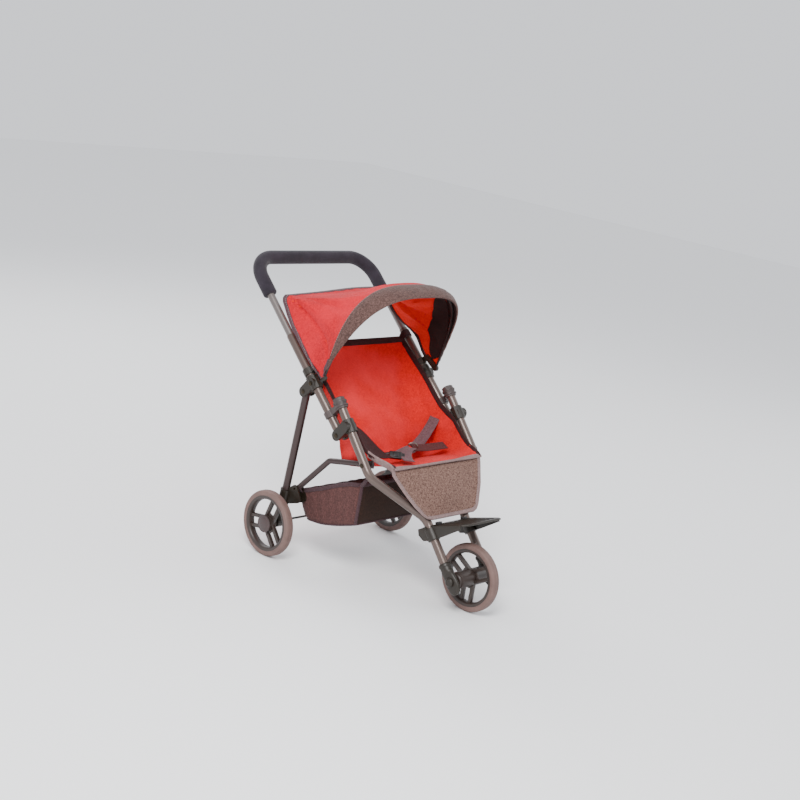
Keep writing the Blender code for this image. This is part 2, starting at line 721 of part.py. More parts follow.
def make_seat_back(parent):
    """Back panel of the hammock seat with its two side wings."""
    thickness = 0.003
    back = slab("seat_back", SEAT_FOLD, SEAT_TOP, SEAT_HALF, thickness)
    wing_outline = [
        along(SEAT_TOP, direction(SEAT_FOLD, SEAT_TOP), -0.001, 0.0), (0.0580, 0.3380), (0.0120, 0.2985),
        (-0.0276, 0.2770), (-0.0640, 0.2450), (-0.0860, 0.2385), along(SEAT_FOLD, (1, 0), 0.0, 0.001),
    ]
    wings = []
    for side, sign in SIDES.items():
        outer, inner = sign * SEAT_HALF, sign * (SEAT_HALF - thickness)
        wings.append(plate(f"seat_wing_{side}", wing_outline, inner, outer))
    combine(back, "UNION", wings)
    finish(back, RED_FABRIC, 0.9, 0.0, parent)


def make_seat_base(parent):
    rear = (0.0, 0.2125)
    base = slab("seat_base", rear, SEAT_FRONT, SEAT_HALF, 0.0030)
    finish(base, RED_FABRIC, 0.9, 0.0, parent)


def make_apron(parent):
    """Grey panel that hangs from the seat's front edge to the fork, narrower at the bottom."""
    top_half, bottom_half, length, thickness = 0.1280, 0.0740, 0.1060, 0.0030
    top = along(SEAT_FRONT, (-1, 0), 0.0026, 0.0)
    bottom = (-0.1610, 0.1490)
    shoulder, corner = (bottom_half + 0.004, -length + 0.010), (bottom_half - 0.008, -length)
    outline = [
        (-top_half, 0.0), (top_half, 0.0), shoulder, corner,
        (-corner[0], corner[1]), (-shoulder[0], shoulder[1]),
    ]
    curve = bpy.data.curves.new("seat_apron", "CURVE")
    curve.dimensions = "2D"
    curve.fill_mode = "BOTH"
    curve.extrude = thickness / 2
    spline = curve.splines.new("POLY")
    spline.points.add(len(outline) - 1)
    for point, place in zip(spline.points, outline):
        point.co = (*place, 0.0, 1.0)
    spline.use_cyclic_u = True
    apron = bpy.data.objects.new("seat_apron", curve)
    heading = direction(bottom, top)
    apron.rotation_euler = (math.atan2(heading[1], heading[0]), 0, 0)
    apron.location = at(0, top)
    PARTS.objects.link(apron)
    finish(curve_to_mesh(apron), GREY_FABRIC, 0.9, 0.0, parent)


def arch(half_width, height, lean, base, start=0.0, steps=24, squareness=2.9):
    """Points of a rounded arch that stands on the line through base, leaning forward by lean."""
    up = (-math.sin(math.radians(lean)), math.cos(math.radians(lean)))
    points = []
    for k in range(steps + 1):
        angle = math.pi * (start + (1 - 2 * start) * k / steps)
        cosine, sine = math.cos(angle), math.sin(angle)
        x = -half_width * math.copysign(abs(cosine) ** (2 / squareness), cosine)
        rise = height * abs(sine) ** (2 / squareness)
        points.append(at(x, (base[0] + up[0] * rise, base[1] + up[1] * rise)))
    return points


def loft(name, rows, thickness, offset):
    """A cloth sheet through rows of points, given a thickness."""
    def build(work):
        grid = [[work.verts.new(p) for p in row] for row in rows]
        for low, high in zip(grid, grid[1:]):
            for a, b, c, d in zip(low, low[1:], high[1:], high):
                work.faces.new((a, b, c, d))
    sheet = mesh_object(name, build)
    shell = sheet.modifiers.new("thickness", "SOLIDIFY")
    shell.thickness = thickness
    shell.offset = offset
    return sheet


CANOPY_STEPS = 24
CANOPY_HALF = 0.1490
SEAM_LEAN = 2.0
SEAM_BASE = (0.0470, 0.3545)
BAND_LEAN = (7.4, 25.0)
BAND_HEIGHT = (0.1700, 0.1820)


def rear_edge(steps):
    """The canopy's rear edge: up beside the right side tube, across, and down beside the left."""
    half = CANOPY_HALF
    low = on_side_tube(0.1400, 0.0150)
    high = on_side_tube(0.3050, 0.0150)
    points = []
    side_steps = steps // 3
    for k in range(side_steps):
        part = k / side_steps
        points.append(at(-half, along(low, SIDE_HEADING, math.dist(low, high) * part)))
    for k in range(steps - 2 * side_steps + 1):
        points.append(at(half * (2 * k / (steps - 2 * side_steps) - 1), high))
    for k in range(side_steps):
        part = 1 - (k + 1) / side_steps
        points.append(at(half, along(low, SIDE_HEADING, math.dist(low, high) * part)))
    return points


def make_canopy_fabric(parent):
    seam = arch(CANOPY_HALF, BAND_HEIGHT[0], SEAM_LEAN, SEAM_BASE, start=0.05)
    back = rear_edge(CANOPY_STEPS)
    rows = []
    for row in range(5):
        part = row / 4
        rows.append([b.lerp(s, part) for b, s in zip(back, seam)])
    sheet = loft("canopy_fabric", rows, 0.0024, 0.0)
    finish(sheet, RED_FABRIC, 0.9, 0.0, parent)


def make_canopy_band(parent):
    """Padded band along the canopy's front edge, with the bow inside its hem."""
    back = arch(CANOPY_HALF, BAND_HEIGHT[0], BAND_LEAN[0], CANOPY_PIVOT, start=0.03)
    front = arch(CANOPY_HALF - 0.004, BAND_HEIGHT[1], BAND_LEAN[1], CANOPY_PIVOT, start=0.03)
    rows = [[b.lerp(f, k / 2) for b, f in zip(back, front)] for k in range(3)]
    finish(loft("canopy_band", rows, 0.0050, 0.0), GREY_FABRIC, 0.9, 0.0, parent)
    bow_half, bow_height, bow_lean = CANOPY_HALF - 0.011, BAND_HEIGHT[0] - 0.0045, 16.2
    bow = arch(bow_half, bow_height, bow_lean, CANOPY_PIVOT)
    finish(swept("canopy_bow", bow, BOW_RADIUS, sides=8), FRAME_METAL, 0.4, 0.8, parent)


def make_basket(parent):
    """Open cloth tray between the rear feet and the front tubes, deeper at the back."""
    top_rear, top_front = (0.0760, 0.1300), (-0.0560, 0.1860)
    low_rear, low_front = (0.0600, 0.0780), (-0.0520, 0.1020)
    half_top, half_low, thickness = 0.1140, 0.1040, 0.0026
    def build(work):
        corners = [
            (-half_low, low_rear), (-half_low, low_front), (half_low, low_front), (half_low, low_rear),
            (-half_top, top_rear), (-half_top, top_front), (half_top, top_front), (half_top, top_rear),
        ]
        verts = [work.verts.new(at(x, p)) for x, p in corners]
        for face in ((0, 1, 2, 3), (0, 4, 5, 1), (1, 5, 6, 2), (2, 6, 7, 3), (3, 7, 4, 0)):
            work.faces.new([verts[i] for i in face])
    basket = mesh_object("basket", build)
    shell = basket.modifiers.new("thickness", "SOLIDIFY")
    shell.thickness = thickness
    shell.offset = 0.0
    finish(basket, BASKET_FABRIC, 0.9, 0.0, parent)


def ribbon(name, points, width, thickness, parent, colour):
    """A flat strap through points, its width along X."""
    rows = [[Vector(p) + Vector((s * width / 2, 0, 0)) for p in points] for s in (-1, 1)]
    strap = loft(name, rows, thickness, 0.0)
    finish(strap, colour, 0.8, 0.0, parent)


def make_belt(parent):
    """Lap strap on the seat's left side, and the crotch loop and buckle it meets."""
    strap = [(0.1130, 0.0100, 0.2660), (0.0850, 0.0020, 0.2440), (0.0560, -0.0080, 0.2270)]
    strap.append((0.0330, -0.0130, 0.2230))
    rows = [[Vector(p) + Vector((0, s * 0.006, s * 0.003)) for p in strap] for s in (-1, 1)]
    finish(loft("lap_strap", rows, 0.0014, 0.0), WEBBING, 0.8, 0.0, parent)
    loop = [(0.0, -0.0880, 0.2368), (0.0, -0.0600, 0.2320), (0.0, -0.0340, 0.2285)]
    ribbon("crotch_strap", loop, 0.0140, 0.0014, parent, WEBBING)
    buckle = box_between("belt_buckle", (-0.0120, -0.0310, 0.2235), (0.0140, -0.0180, 0.2295))
    finish(buckle, BUCKLE_BLACK, 0.4, 0.0, parent)


def make_fixed_side(side, sign, handle):
    x = sign * SIDE_TUBE_X
    make_side_tube(side, sign, handle)
    make_leg_bracket(side, sign, handle)
    make_canopy_clip(side, sign, handle)
    make_rivet(f"leg_rivet_{side}", x - 0.0106, x + 0.0106, LEG_PIVOT, handle)
    make_rivet(f"bracket_rivet_{side}", x - 0.0112, x + 0.0112, on_side_tube(LEG_BRACKET_AT), handle)


def make_front_side(side, sign, front):
    x = sign * SIDE_TUBE_X
    make_front_tube(side, sign, front)
    make_fold_bracket(side, sign, front)
    make_lock_clip(side, sign, front)
    make_fork_end(side, sign, front)
    make_rivet(f"fold_rivet_{side}", x - 0.0114, x + 0.0114, FOLD_PIVOT, front)
    tube_face = sign * (FRONT_TUBE_X + TUBE_RADIUS)
    brace_face = sign * (BRACE_X - BRACE_RADIUS)
    make_rivet(f"brace_rivet_{side}", brace_face, tube_face, BRACE_FRONT_PIVOT, front)
    cap_x = sign * (FORK_X + 0.0052 + GAP)
    make_hub_cap(f"front_axle_cap_{side}", cap_x, sign, FRONT_AXLE_AT, front)


def make_leg_side(side, sign, legs):
    make_rear_leg(side, sign, legs)
    make_rear_foot(side, sign, legs)


def main():
    handle = pivot_empty("handle_frame", 0, FOLD_PIVOT)
    front = pivot_empty("front_frame", 0, FOLD_PIVOT, handle)
    legs = pivot_empty("rear_legs", 0, LEG_PIVOT, handle)
    braces = pivot_empty("braces", 0, BRACE_FRONT_PIVOT, front)
    canopy = pivot_empty("canopy", 0, CANOPY_PIVOT, handle)
    front_wheel = pivot_empty("front_wheel", 0, FRONT_AXLE_AT, front)
    make_handle(handle)
    make_seat_back(handle)
    make_canopy_fabric(handle)
    make_canopy_band(canopy)
    make_footrest(front)
    make_seat_base(front)
    make_apron(front)
    make_belt(front)
    make_crossbar(braces)
    make_basket(braces)
    for side, sign in SIDES.items():
        make_fixed_side(side, sign, handle)
        make_front_side(side, sign, front)
        make_leg_side(side, sign, legs)
        make_brace(side, sign, braces)
        rear_wheel = pivot_empty(f"rear_wheel_{side}", sign * REAR_WHEEL_X, REAR_AXLE_AT, legs)
        x = sign * REAR_WHEEL_X
        make_tyre(f"rear_tyre_{side}", x, REAR_AXLE_AT, rear_wheel)
        make_rim(f"rear_rim_{side}", x, REAR_AXLE_AT, 0.0095, 20.0, rear_wheel)
        make_hub_cap(f"rear_hub_cap_{side}", sign * (REAR_WHEEL_X + 0.0095 + GAP), sign, REAR_AXLE_AT, legs)
    make_axle("front_axle", FORK_X + 0.0070, FRONT_AXLE_AT, front)
    make_axle("rear_axle", REAR_WHEEL_X + 0.0113, REAR_AXLE_AT, legs)
    make_tyre("front_tyre", 0, FRONT_AXLE_AT, front_wheel)
    make_rim("front_rim", 0, FRONT_AXLE_AT, 0.0400, 60.0, front_wheel)


main()
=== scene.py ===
"""Doll stroller: the detailed pieces, materials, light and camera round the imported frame.

Metres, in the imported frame: -Y is forward, +Z up. "Side view" points are (y, z) pairs.
"""

import json
import math

import bmesh
import bpy
import numpy as np
from mathutils import Matrix, Vector

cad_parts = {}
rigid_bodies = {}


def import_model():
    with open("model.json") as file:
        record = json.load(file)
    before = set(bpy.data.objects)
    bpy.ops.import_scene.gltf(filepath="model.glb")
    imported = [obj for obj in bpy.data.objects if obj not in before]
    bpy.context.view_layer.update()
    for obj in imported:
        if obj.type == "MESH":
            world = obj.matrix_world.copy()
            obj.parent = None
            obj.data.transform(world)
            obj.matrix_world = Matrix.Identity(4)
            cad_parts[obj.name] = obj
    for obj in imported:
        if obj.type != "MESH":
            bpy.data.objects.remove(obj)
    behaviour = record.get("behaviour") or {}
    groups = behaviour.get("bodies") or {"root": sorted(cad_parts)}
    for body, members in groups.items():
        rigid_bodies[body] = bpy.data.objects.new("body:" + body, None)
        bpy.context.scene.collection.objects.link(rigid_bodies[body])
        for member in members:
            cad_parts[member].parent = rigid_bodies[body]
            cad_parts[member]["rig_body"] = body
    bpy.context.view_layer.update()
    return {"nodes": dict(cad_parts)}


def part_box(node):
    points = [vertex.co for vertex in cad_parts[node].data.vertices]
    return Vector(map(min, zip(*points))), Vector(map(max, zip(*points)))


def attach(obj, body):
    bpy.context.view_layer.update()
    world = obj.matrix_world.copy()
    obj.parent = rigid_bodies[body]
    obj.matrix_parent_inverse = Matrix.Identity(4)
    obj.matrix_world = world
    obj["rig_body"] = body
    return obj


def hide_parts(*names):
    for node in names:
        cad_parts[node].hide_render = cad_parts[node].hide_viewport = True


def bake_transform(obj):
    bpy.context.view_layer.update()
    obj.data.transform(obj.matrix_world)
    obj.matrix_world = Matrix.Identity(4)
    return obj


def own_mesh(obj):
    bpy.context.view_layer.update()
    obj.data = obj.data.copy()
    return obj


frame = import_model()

SIDES = {"right": -1, "left": 1}
NODES = frame["nodes"]

# Frame dimensions, repeated from the CAD source
WHEEL_RADIUS, TYRE_WIDTH = 0.060, 0.0165
TYRE_INNER, RIM_INNER, HUB_RADIUS, SPOKE_OFFSET = 0.0505, 0.0465, 0.0150, 0.0095
REAR_WHEEL_X, AXLE_BORE = 0.1594, 0.0023
FRONT_AXLE_AT, REAR_AXLE_AT = (-0.2254, 0.060), (0.1228, 0.060)
SIDE_TUBE_X, FRONT_TUBE_X, FORK_X, BRACE_X = 0.1450, 0.1415, 0.0484, 0.1280
LEG_TOP_X, LEG_FOOT_X, LEG_FOOT_AT = 0.1450, 0.1355, (0.1140, 0.1173)
FOLD_PIVOT, LEG_PIVOT = (-0.0084, 0.2648), (0.0864, 0.3161)
BRACE_REAR_PIVOT, BRACE_FRONT_PIVOT, BRACE_BEND = (0.0920, 0.1320), (-0.0720, 0.2300), (0.0245, 0.2060)
HANDLE_CORNER, FRONT_TUBE_TOP = (0.2732, 0.5133), (0.0094, 0.3202)
TUBE_RADIUS, HANDLE_RADIUS, LEG_RADIUS, BRACE_RADIUS, GRIP_RADIUS = 0.0078, 0.0067, 0.0070, 0.0051, 0.0125
TELESCOPE_AT, GRIP_START, HANDLE_BEND = 0.2070, 0.2930, 0.0460
FRONT_BEND_A, FRONT_BEND_B, FORK_TUBE_END = 0.1437, 0.2339, 0.2985


# Side view geometry

def direction(start, end):
    length = math.dist(start, end)
    return ((end[0] - start[0]) / length, (end[1] - start[1]) / length)


def along(start, heading, distance, across=0.0):
    """The side view point this far along a heading, and this far to its upper side."""
    upward = (-heading[1], heading[0]) if heading[0] > 0 else (heading[1], -heading[0])
    return (
        start[0] + heading[0] * distance + upward[0] * across,
        start[1] + heading[1] * distance + upward[1] * across,
    )


SIDE_HEADING = direction(FOLD_PIVOT, HANDLE_CORNER)
FRONT_HEADING = direction(FRONT_TUBE_TOP, FRONT_AXLE_AT)
LEG_HEADING = direction(LEG_PIVOT, REAR_AXLE_AT)
HANDLE_LENGTH = math.dist(FOLD_PIVOT, HANDLE_CORNER)
LEG_END = math.dist(LEG_PIVOT, REAR_AXLE_AT) - 0.014


def on_side_tube(distance, across=0.0):
    return along(FOLD_PIVOT, SIDE_HEADING, distance, across)


def on_front_tube(distance, across=0.0):
    return along(FRONT_TUBE_TOP, FRONT_HEADING, distance, across)


def at(x, point):
    return Vector((x, point[0], point[1]))


def leg_point(sign, distance):
    reach = math.dist(LEG_PIVOT, LEG_FOOT_AT)
    x = LEG_TOP_X + (LEG_FOOT_X - LEG_TOP_X) * distance / reach
    return at(sign * x, along(LEG_PIVOT, LEG_HEADING, distance))


# Materials

def linear(red, green, blue):
    """A linear colour from 0 to 255 sRGB values."""
    def one(value):
        value /= 255
        return value / 12.92 if value <= 0.04045 else ((value + 0.055) / 1.055) ** 2.4
    return (one(red), one(green), one(blue), 1.0)


class Shader:
    """A Principled material under construction."""

    def __init__(self, name, roughness, metallic=0.0, sheen=0.0, coat=0.0, specular=0.5):
        self.material = bpy.data.materials.new(name)
        self.material.use_nodes = True
        self.tree = self.material.node_tree
        self.out = self.tree.nodes["Principled BSDF"]
        self.out.inputs["Roughness"].default_value = roughness
        self.out.inputs["Metallic"].default_value = metallic
        self.out.inputs["Sheen Weight"].default_value = sheen
        self.out.inputs["Sheen Roughness"].default_value = 0.4
        self.out.inputs["Coat Weight"].default_value = coat
        self.out.inputs["Specular IOR Level"].default_value = specular
        self.coordinates = self.tree.nodes.new("ShaderNodeTexCoord")

    def node(self, kind, settings=None, **inputs):
        made = self.tree.nodes.new(kind)
        for key, value in (settings or {}).items():
            setattr(made, key, value)
        for key, value in inputs.items():
            socket = made.inputs[key if key in made.inputs else key.replace("_", " ")]
            if isinstance(value, bpy.types.NodeSocket):
                self.tree.links.new(value, socket)
            else:
                socket.default_value = value
        return made

    def noise(self, scale, detail=3.0, rough=0.5, stretch=(1, 1, 1)):
        place = self.node("ShaderNodeMapping", Vector=self.coordinates.outputs["Object"], Scale=stretch)
        made = self.node(
            "ShaderNodeTexNoise", Vector=place.outputs["Vector"], Scale=scale, Detail=detail, Roughness=rough
        )
        return made.outputs["Fac"]

    def ramp(self, value, stops):
        made = self.node("ShaderNodeValToRGB", Fac=value)
        elements = made.color_ramp.elements
        while len(elements) < len(stops):
            elements.new(0.5)
        for element, (place, colour) in zip(elements, stops):
            element.position = place
            element.color = colour
        return made.outputs["Color"]

    def mix(self, factor, a, b, blend="MIX"):
        made = self.node("ShaderNodeMix", {"data_type": "RGBA", "blend_type": blend})
        for socket, value in ((made.inputs[0], factor), (made.inputs[6], a), (made.inputs[7], b)):
            if isinstance(value, bpy.types.NodeSocket):
                self.tree.links.new(value, socket)
            else:
                socket.default_value = value
        return made.outputs[2]

    def math(self, operation, a, b=0.0):
        made = self.node("ShaderNodeMath", {"operation": operation})
        for socket, value in zip(made.inputs, (a, b)):
            if isinstance(value, bpy.types.NodeSocket):
                self.tree.links.new(value, socket)
            else:
                socket.default_value = value
        return made.outputs[0]

    def colour(self, socket):
        self.tree.links.new(socket, self.out.inputs["Base Color"])

    def roughness(self, socket):
        self.tree.links.new(socket, self.out.inputs["Roughness"])

    def bump(self, height, distance, strength=1.0):
        made = self.node("ShaderNodeBump", Height=height, Distance=distance, Strength=strength)
        self.tree.links.new(made.outputs["Normal"], self.out.inputs["Normal"])


def shade(colour, factor):
    return (colour[0] * factor, colour[1] * factor, colour[2] * factor, 1.0)


def fabric(name, dark, light, thread, mottle, spread, sheen, worn):
    """Woven cloth: two sets of threads from the UVs, which are in metres, and a heathered colour."""
    made = Shader(name, 0.85, sheen=sheen, specular=0.25)
    place = made.coordinates.outputs["UV"]
    waves = [
        made.node(
            "ShaderNodeTexWave", {"bands_direction": way, "wave_profile": "SIN"},
            Vector=place, Scale=0.314 / thread, Distortion=0.6, Detail=1.0,
        ).outputs["Fac"]
        for way in ("X", "Y")
    ]
    weave = made.math("MAXIMUM", *waves)
    speckle = made.noise(1.0 / mottle, 2.0, 0.65)
    fleck = made.noise(3.2 / mottle, 1.0, 0.5, stretch=(1.0, 0.45, 1.0))
    value = made.math("ADD", made.math("MULTIPLY", fleck, 0.45), made.math("MULTIPLY", speckle, 0.55))
    tint = made.ramp(value, [(0.5 - spread, dark), (0.5 + spread, light)])
    if worn:
        patch = made.noise(14.0, 2.0, 0.5)
        faded = made.ramp(patch, [(0.42, (0, 0, 0, 1)), (0.68, (1, 1, 1, 1))])
        tint = made.mix(made.math("MULTIPLY", faded, 0.5), tint, worn)
    shadowed = made.mix(0.35, tint, made.mix(1.0, tint, made.ramp(
        weave, [(0.2, (0.55, 0.55, 0.55, 1)), (0.8, (1, 1, 1, 1))]), "MULTIPLY"))
    made.colour(shadowed)
    height = made.math("ADD", weave, made.math("MULTIPLY", speckle, 0.7))
    made.bump(height, 0.00035, 0.65)
    return made.material


def paint(name, colour, roughness=0.36, metallic=0.55):
    """Sprayed metal: fine flake, slight orange peel and faint rubbed streaks."""
    made = Shader(name, roughness, metallic=metallic, coat=0.15)
    flake = made.noise(2600.0, 1.0)
    cloud = made.noise(22.0, 3.0)
    tint = made.ramp(flake, [(0.35, shade(colour, 0.88)), (0.65, shade(colour, 1.12))])
    cloudy = made.ramp(cloud, [(0.35, shade(colour, 0.92)), (0.7, shade(colour, 1.08))])
    made.colour(made.mix(0.5, tint, cloudy))
    rub = made.noise(60.0, 4.0, 0.7, stretch=(1.0, 0.3, 0.3))
    made.roughness(made.math("ADD", made.math("MULTIPLY", rub, 0.22), roughness - 0.1))
    made.bump(made.noise(700.0, 2.0), 0.00006, 0.5)
    return made.material


def plastic(name, colour, roughness=0.5, grain=900.0, depth=0.00008):
    """Moulded plastic: a fine spark-eroded grain, slight colour drift and scuffs."""
    made = Shader(name, roughness, specular=0.45)
    drift = made.noise(30.0, 3.0)
    scuff = made.noise(180.0, 5.0, 0.75, stretch=(1.0, 2.5, 0.7))
    tint = made.ramp(drift, [(0.3, shade(colour, 0.86)), (0.7, shade(colour, 1.14))])
    light = made.ramp(scuff, [(0.62, (0, 0, 0, 1)), (0.8, (1, 1, 1, 1))])
    made.colour(made.mix(made.math("MULTIPLY", light, 0.22), tint, shade(colour, 2.2)))
    made.roughness(made.math("ADD", made.math("MULTIPLY", scuff, 0.25), roughness - 0.1))
    made.bump(made.noise(grain, 2.0, 0.6), depth, 0.6)
    return made.material


def foam(name, colour):
    made = Shader(name, 0.92, sheen=0.15, specular=0.2)
    cells = made.node("ShaderNodeTexVoronoi", Vector=made.coordinates.outputs["Object"], Scale=1500.0)
    cloud = made.noise(45.0, 4.0, 0.6)
    made.colour(made.ramp(cloud, [(0.3, shade(colour, 0.75)), (0.7, shade(colour, 1.3))]))
    made.bump(cells.outputs["Distance"], 0.00035, 0.7)
    return made.material


def rubber(name, colour):
    made = Shader(name, 0.62, specular=0.35)
    dust = made.noise(55.0, 5.0, 0.65)
    fine = made.noise(900.0, 2.0)
    made.colour(made.ramp(dust, [(0.32, shade(colour, 0.82)), (0.68, shade(colour, 1.12))]))
    made.roughness(made.math("ADD", made.math("MULTIPLY", dust, 0.3), 0.48))
    made.bump(fine, 0.0001, 0.6)
    return made.material


def brushed(name, colour):
    made = Shader(name, 0.3, metallic=1.0)
    lines = made.noise(900.0, 3.0, 0.6, stretch=(0.05, 1.0, 1.0))
    made.colour(made.ramp(lines, [(0.3, shade(colour, 0.7)), (0.7, shade(colour, 1.1))]))
    made.bump(lines, 0.00003, 0.4)
    return made.material


CLOTHS = {
    # material name, darkest and lightest colour, thread, mottle, colour spread, sheen, worn colour
    "red": ("red_cloth", (160, 2, 18), (212, 16, 36), 0.0011, 0.0042, 0.16, 0.04, (222, 34, 52)),
    # The hood's inside in orange-red: painted shade and light shining through the red cloth
    "inside_painted_light": ("red_lining", (206, 18, 2), (224, 34, 8), 0.0011, 0.0040, 0.16, 0.04, None),
    "seat": ("seat_cloth", (186, 10, 6), (220, 26, 22), 0.0011, 0.0044, 0.16, 0.04, (232, 56, 62)),
    "grey": ("grey_cloth", (66, 44, 36), (140, 108, 96), 0.0013, 0.0030, 0.14, 0.08, None),
    "trim": ("hood_trim_cloth", (54, 36, 32), (106, 80, 74), 0.0013, 0.0030, 0.14, 0.08, None),
    # Near black for the band's inner face and the sheet inside the hood: painted shade
    "trim_painted_shade": ("hood_trim_lining", (24, 8, 7), (40, 17, 15), 0.0013, 0.0032, 0.16, 0.0, None),
    "basket": ("basket_cloth", (58, 33, 31), (94, 60, 57), 0.0012, 0.0036, 0.16, 0.08, None),
    # The basket's cloth darker on its front wall: painted shade
    "basket_painted_shade": ("basket_end_cloth", (30, 16, 9), (50, 30, 21), 0.0012, 0.0036, 0.16, 0.0, None),
    "tape": ("pale_binding", (112, 90, 88), (148, 124, 121), 0.0009, 0.0040, 0.2, 0.08, None),
    "hood_tape": ("hood_binding", (62, 42, 46), (92, 68, 73), 0.0009, 0.0040, 0.2, 0.08, None),
    "dark_tape": ("dark_binding", (36, 12, 12), (58, 24, 24), 0.0009, 0.0040, 0.2, 0.04, None),
    "basket_tape": ("basket_binding", (50, 32, 35), (76, 53, 58), 0.0009, 0.0040, 0.2, 0.08, None),
    "webbing": ("belt_webbing", (76, 50, 54), (116, 86, 90), 0.0010, 0.0036, 0.2, 0.08, None),
    "tail": ("belt_tail_webbing", (58, 22, 22), (92, 44, 44), 0.0010, 0.0036, 0.2, 0.04, None),
    "thread": ("sewing_thread", (140, 118, 116), (176, 154, 152), 0.0006, 0.002, 0.2, 0.25, None),
}
M = {
    "metal": paint("frame_metal", linear(92, 78, 72)),
    "metal_pale": paint("handle_metal", linear(112, 104, 101)),
    # The frame paint darker on the legs, braces and crossbar: painted shade
    "metal_painted_shade": paint("leg_metal_painted_shade", linear(58, 44, 43)),
    "bracket": plastic("bracket_plastic", linear(30, 23, 14), 0.42),
    "clip": plastic("clip_plastic", linear(62, 52, 50), 0.45),
    "foam": foam("grip_foam", linear(42, 37, 44)),
    "tyre": rubber("tyre_rubber", linear(108, 85, 79)),
    "rim": plastic("rim_plastic", linear(49, 39, 35), 0.4),
    "hub": plastic("hub_plastic", linear(58, 45, 44), 0.45),
    "black": plastic("black_plastic", linear(24, 19, 18), 0.35),
    "steel": brushed("rivet_steel", linear(132, 126, 118)),
    "rivet": brushed("dark_rivet", linear(66, 58, 48)),
}
for key, (name, dark, light, *measures, worn) in CLOTHS.items():
    M[key] = fabric(name, linear(*dark), linear(*light), *measures, worn and linear(*worn))


# Mesh helpers

def new_object(name, mesh, finish=None, sharp=40.0):
    """A smooth shaded object of this mesh in the scene, with this material added if there is one."""
    if finish:
        mesh.materials.append(M[finish])
    mesh.shade_smooth()
    mesh.set_sharp_from_angle(angle=math.radians(sharp))
    obj = bpy.data.objects.new(name, mesh)
    bpy.context.scene.collection.objects.link(obj)
    return obj


def face_out(mesh):
    work = bmesh.new()
    work.from_mesh(mesh)
    bmesh.ops.recalc_face_normals(work, faces=work.faces)
    work.to_mesh(mesh)
    work.free()


def object_of(name, verts, faces, finish, uvs=None, sharp=40.0):
    """A closed mesh object facing out, with one material or a list of (material, face numbers)."""
    mesh = bpy.data.meshes.new(name)
    mesh.from_pydata([tuple(v) for v in verts], [], faces)
    keys = [finish] if isinstance(finish, str) else [key for key, _ in finish]
    for key in keys:
        mesh.materials.append(M[key])
    if not isinstance(finish, str):
        for number, (_, chosen) in enumerate(finish):
            for face in chosen:
                mesh.polygons[face].material_index = number
    if uvs is not None:
        layer = mesh.uv_layers.new(name="UVMap")
        for loop in mesh.loops:
            layer.data[loop.index].uv = uvs[loop.vertex_index]
    obj = new_object(name, mesh, sharp=sharp)
    face_out(mesh)
    return obj


def join(name, objects, finish):
    """One object from several that sit in or on each other."""
    mesh = bpy.data.meshes.new(name)
    work = bmesh.new()
    for obj in objects:
        graph = bpy.context.evaluated_depsgraph_get()
        part = bpy.data.meshes.new_from_object(obj.evaluated_get(graph))
        part.transform(obj.matrix_world)
        work.from_mesh(part)
        bpy.data.meshes.remove(part)
        bpy.data.objects.remove(obj, do_unlink=True)
    work.to_mesh(mesh)
    work.free()
    mesh.materials.clear()
    for polygon in mesh.polygons:
        polygon.material_index = 0
    return new_object(name, mesh, finish)


def arc_lengths(points):
    steps = np.linalg.norm(np.diff(np.asarray(points, float), axis=0), axis=1)
    return np.concatenate([[0.0], np.cumsum(steps)])


def resample(points, count):
    points = np.asarray(points, float)
    lengths = arc_lengths(points)
    wanted = np.linspace(0, lengths[-1], count)
    return np.stack([np.interp(wanted, lengths, points[:, k]) for k in range(points.shape[1])], 1)


def smooth_path(points, count):
    """Catmull-Rom through the points, resampled evenly."""
    p = np.asarray(points, float)
    p = np.vstack([2 * p[0] - p[1], p, 2 * p[-1] - p[-2]])
    out = []
    for k in range(1, len(p) - 2):
        for t in np.linspace(0, 1, 12, endpoint=False):
            out.append(0.5 * (
                2 * p[k] + (p[k + 1] - p[k - 1]) * t
                + (2 * p[k - 1] - 5 * p[k] + 4 * p[k + 1] - p[k + 2]) * t ** 2
                + (3 * p[k] - p[k - 1] - 3 * p[k + 1] + p[k + 2]) * t ** 3
            ))
    out.append(p[-2])
    return resample(out, count)


def rounded_path(corners, radius, steps=10):
    """A path through these corner points with each inner corner turned into an arc."""
    path = [Vector(corners[0])]
    for before, corner, after in zip(corners, corners[1:], corners[2:]):
        corner = Vector(corner)
        arrive = (corner - Vector(before)).normalized()
        leave = (Vector(after) - corner).normalized()
        turn = arrive.angle(leave)
        start = corner - arrive * (radius * math.tan(turn / 2))
        centre = corner + (leave - arrive).normalized() * (radius / math.cos(turn / 2))
        axis = arrive.cross(leave).normalized()
        for step in range(steps + 1):
            path.append(centre + Matrix.Rotation(turn * step / steps, 3, axis) @ (start - centre))
    path.append(Vector(corners[-1]))
    return path


def frames_along(points):
    """Tangent and a turning-free side vector at each point of a path."""
    points = np.asarray(points, float)
    tangents = np.gradient(points, axis=0)
    tangents /= np.linalg.norm(tangents, axis=1)[:, None]
    side = np.cross(tangents[0], (0.0, 0.0, 1.0))
    if np.linalg.norm(side) < 1e-3:
        side = np.array((1.0, 0.0, 0.0))
    sides = []
    for tangent in tangents:
        side = side - tangent * (side @ tangent)
        side = side / np.linalg.norm(side)
        sides.append(side)
    return tangents, np.array(sides)


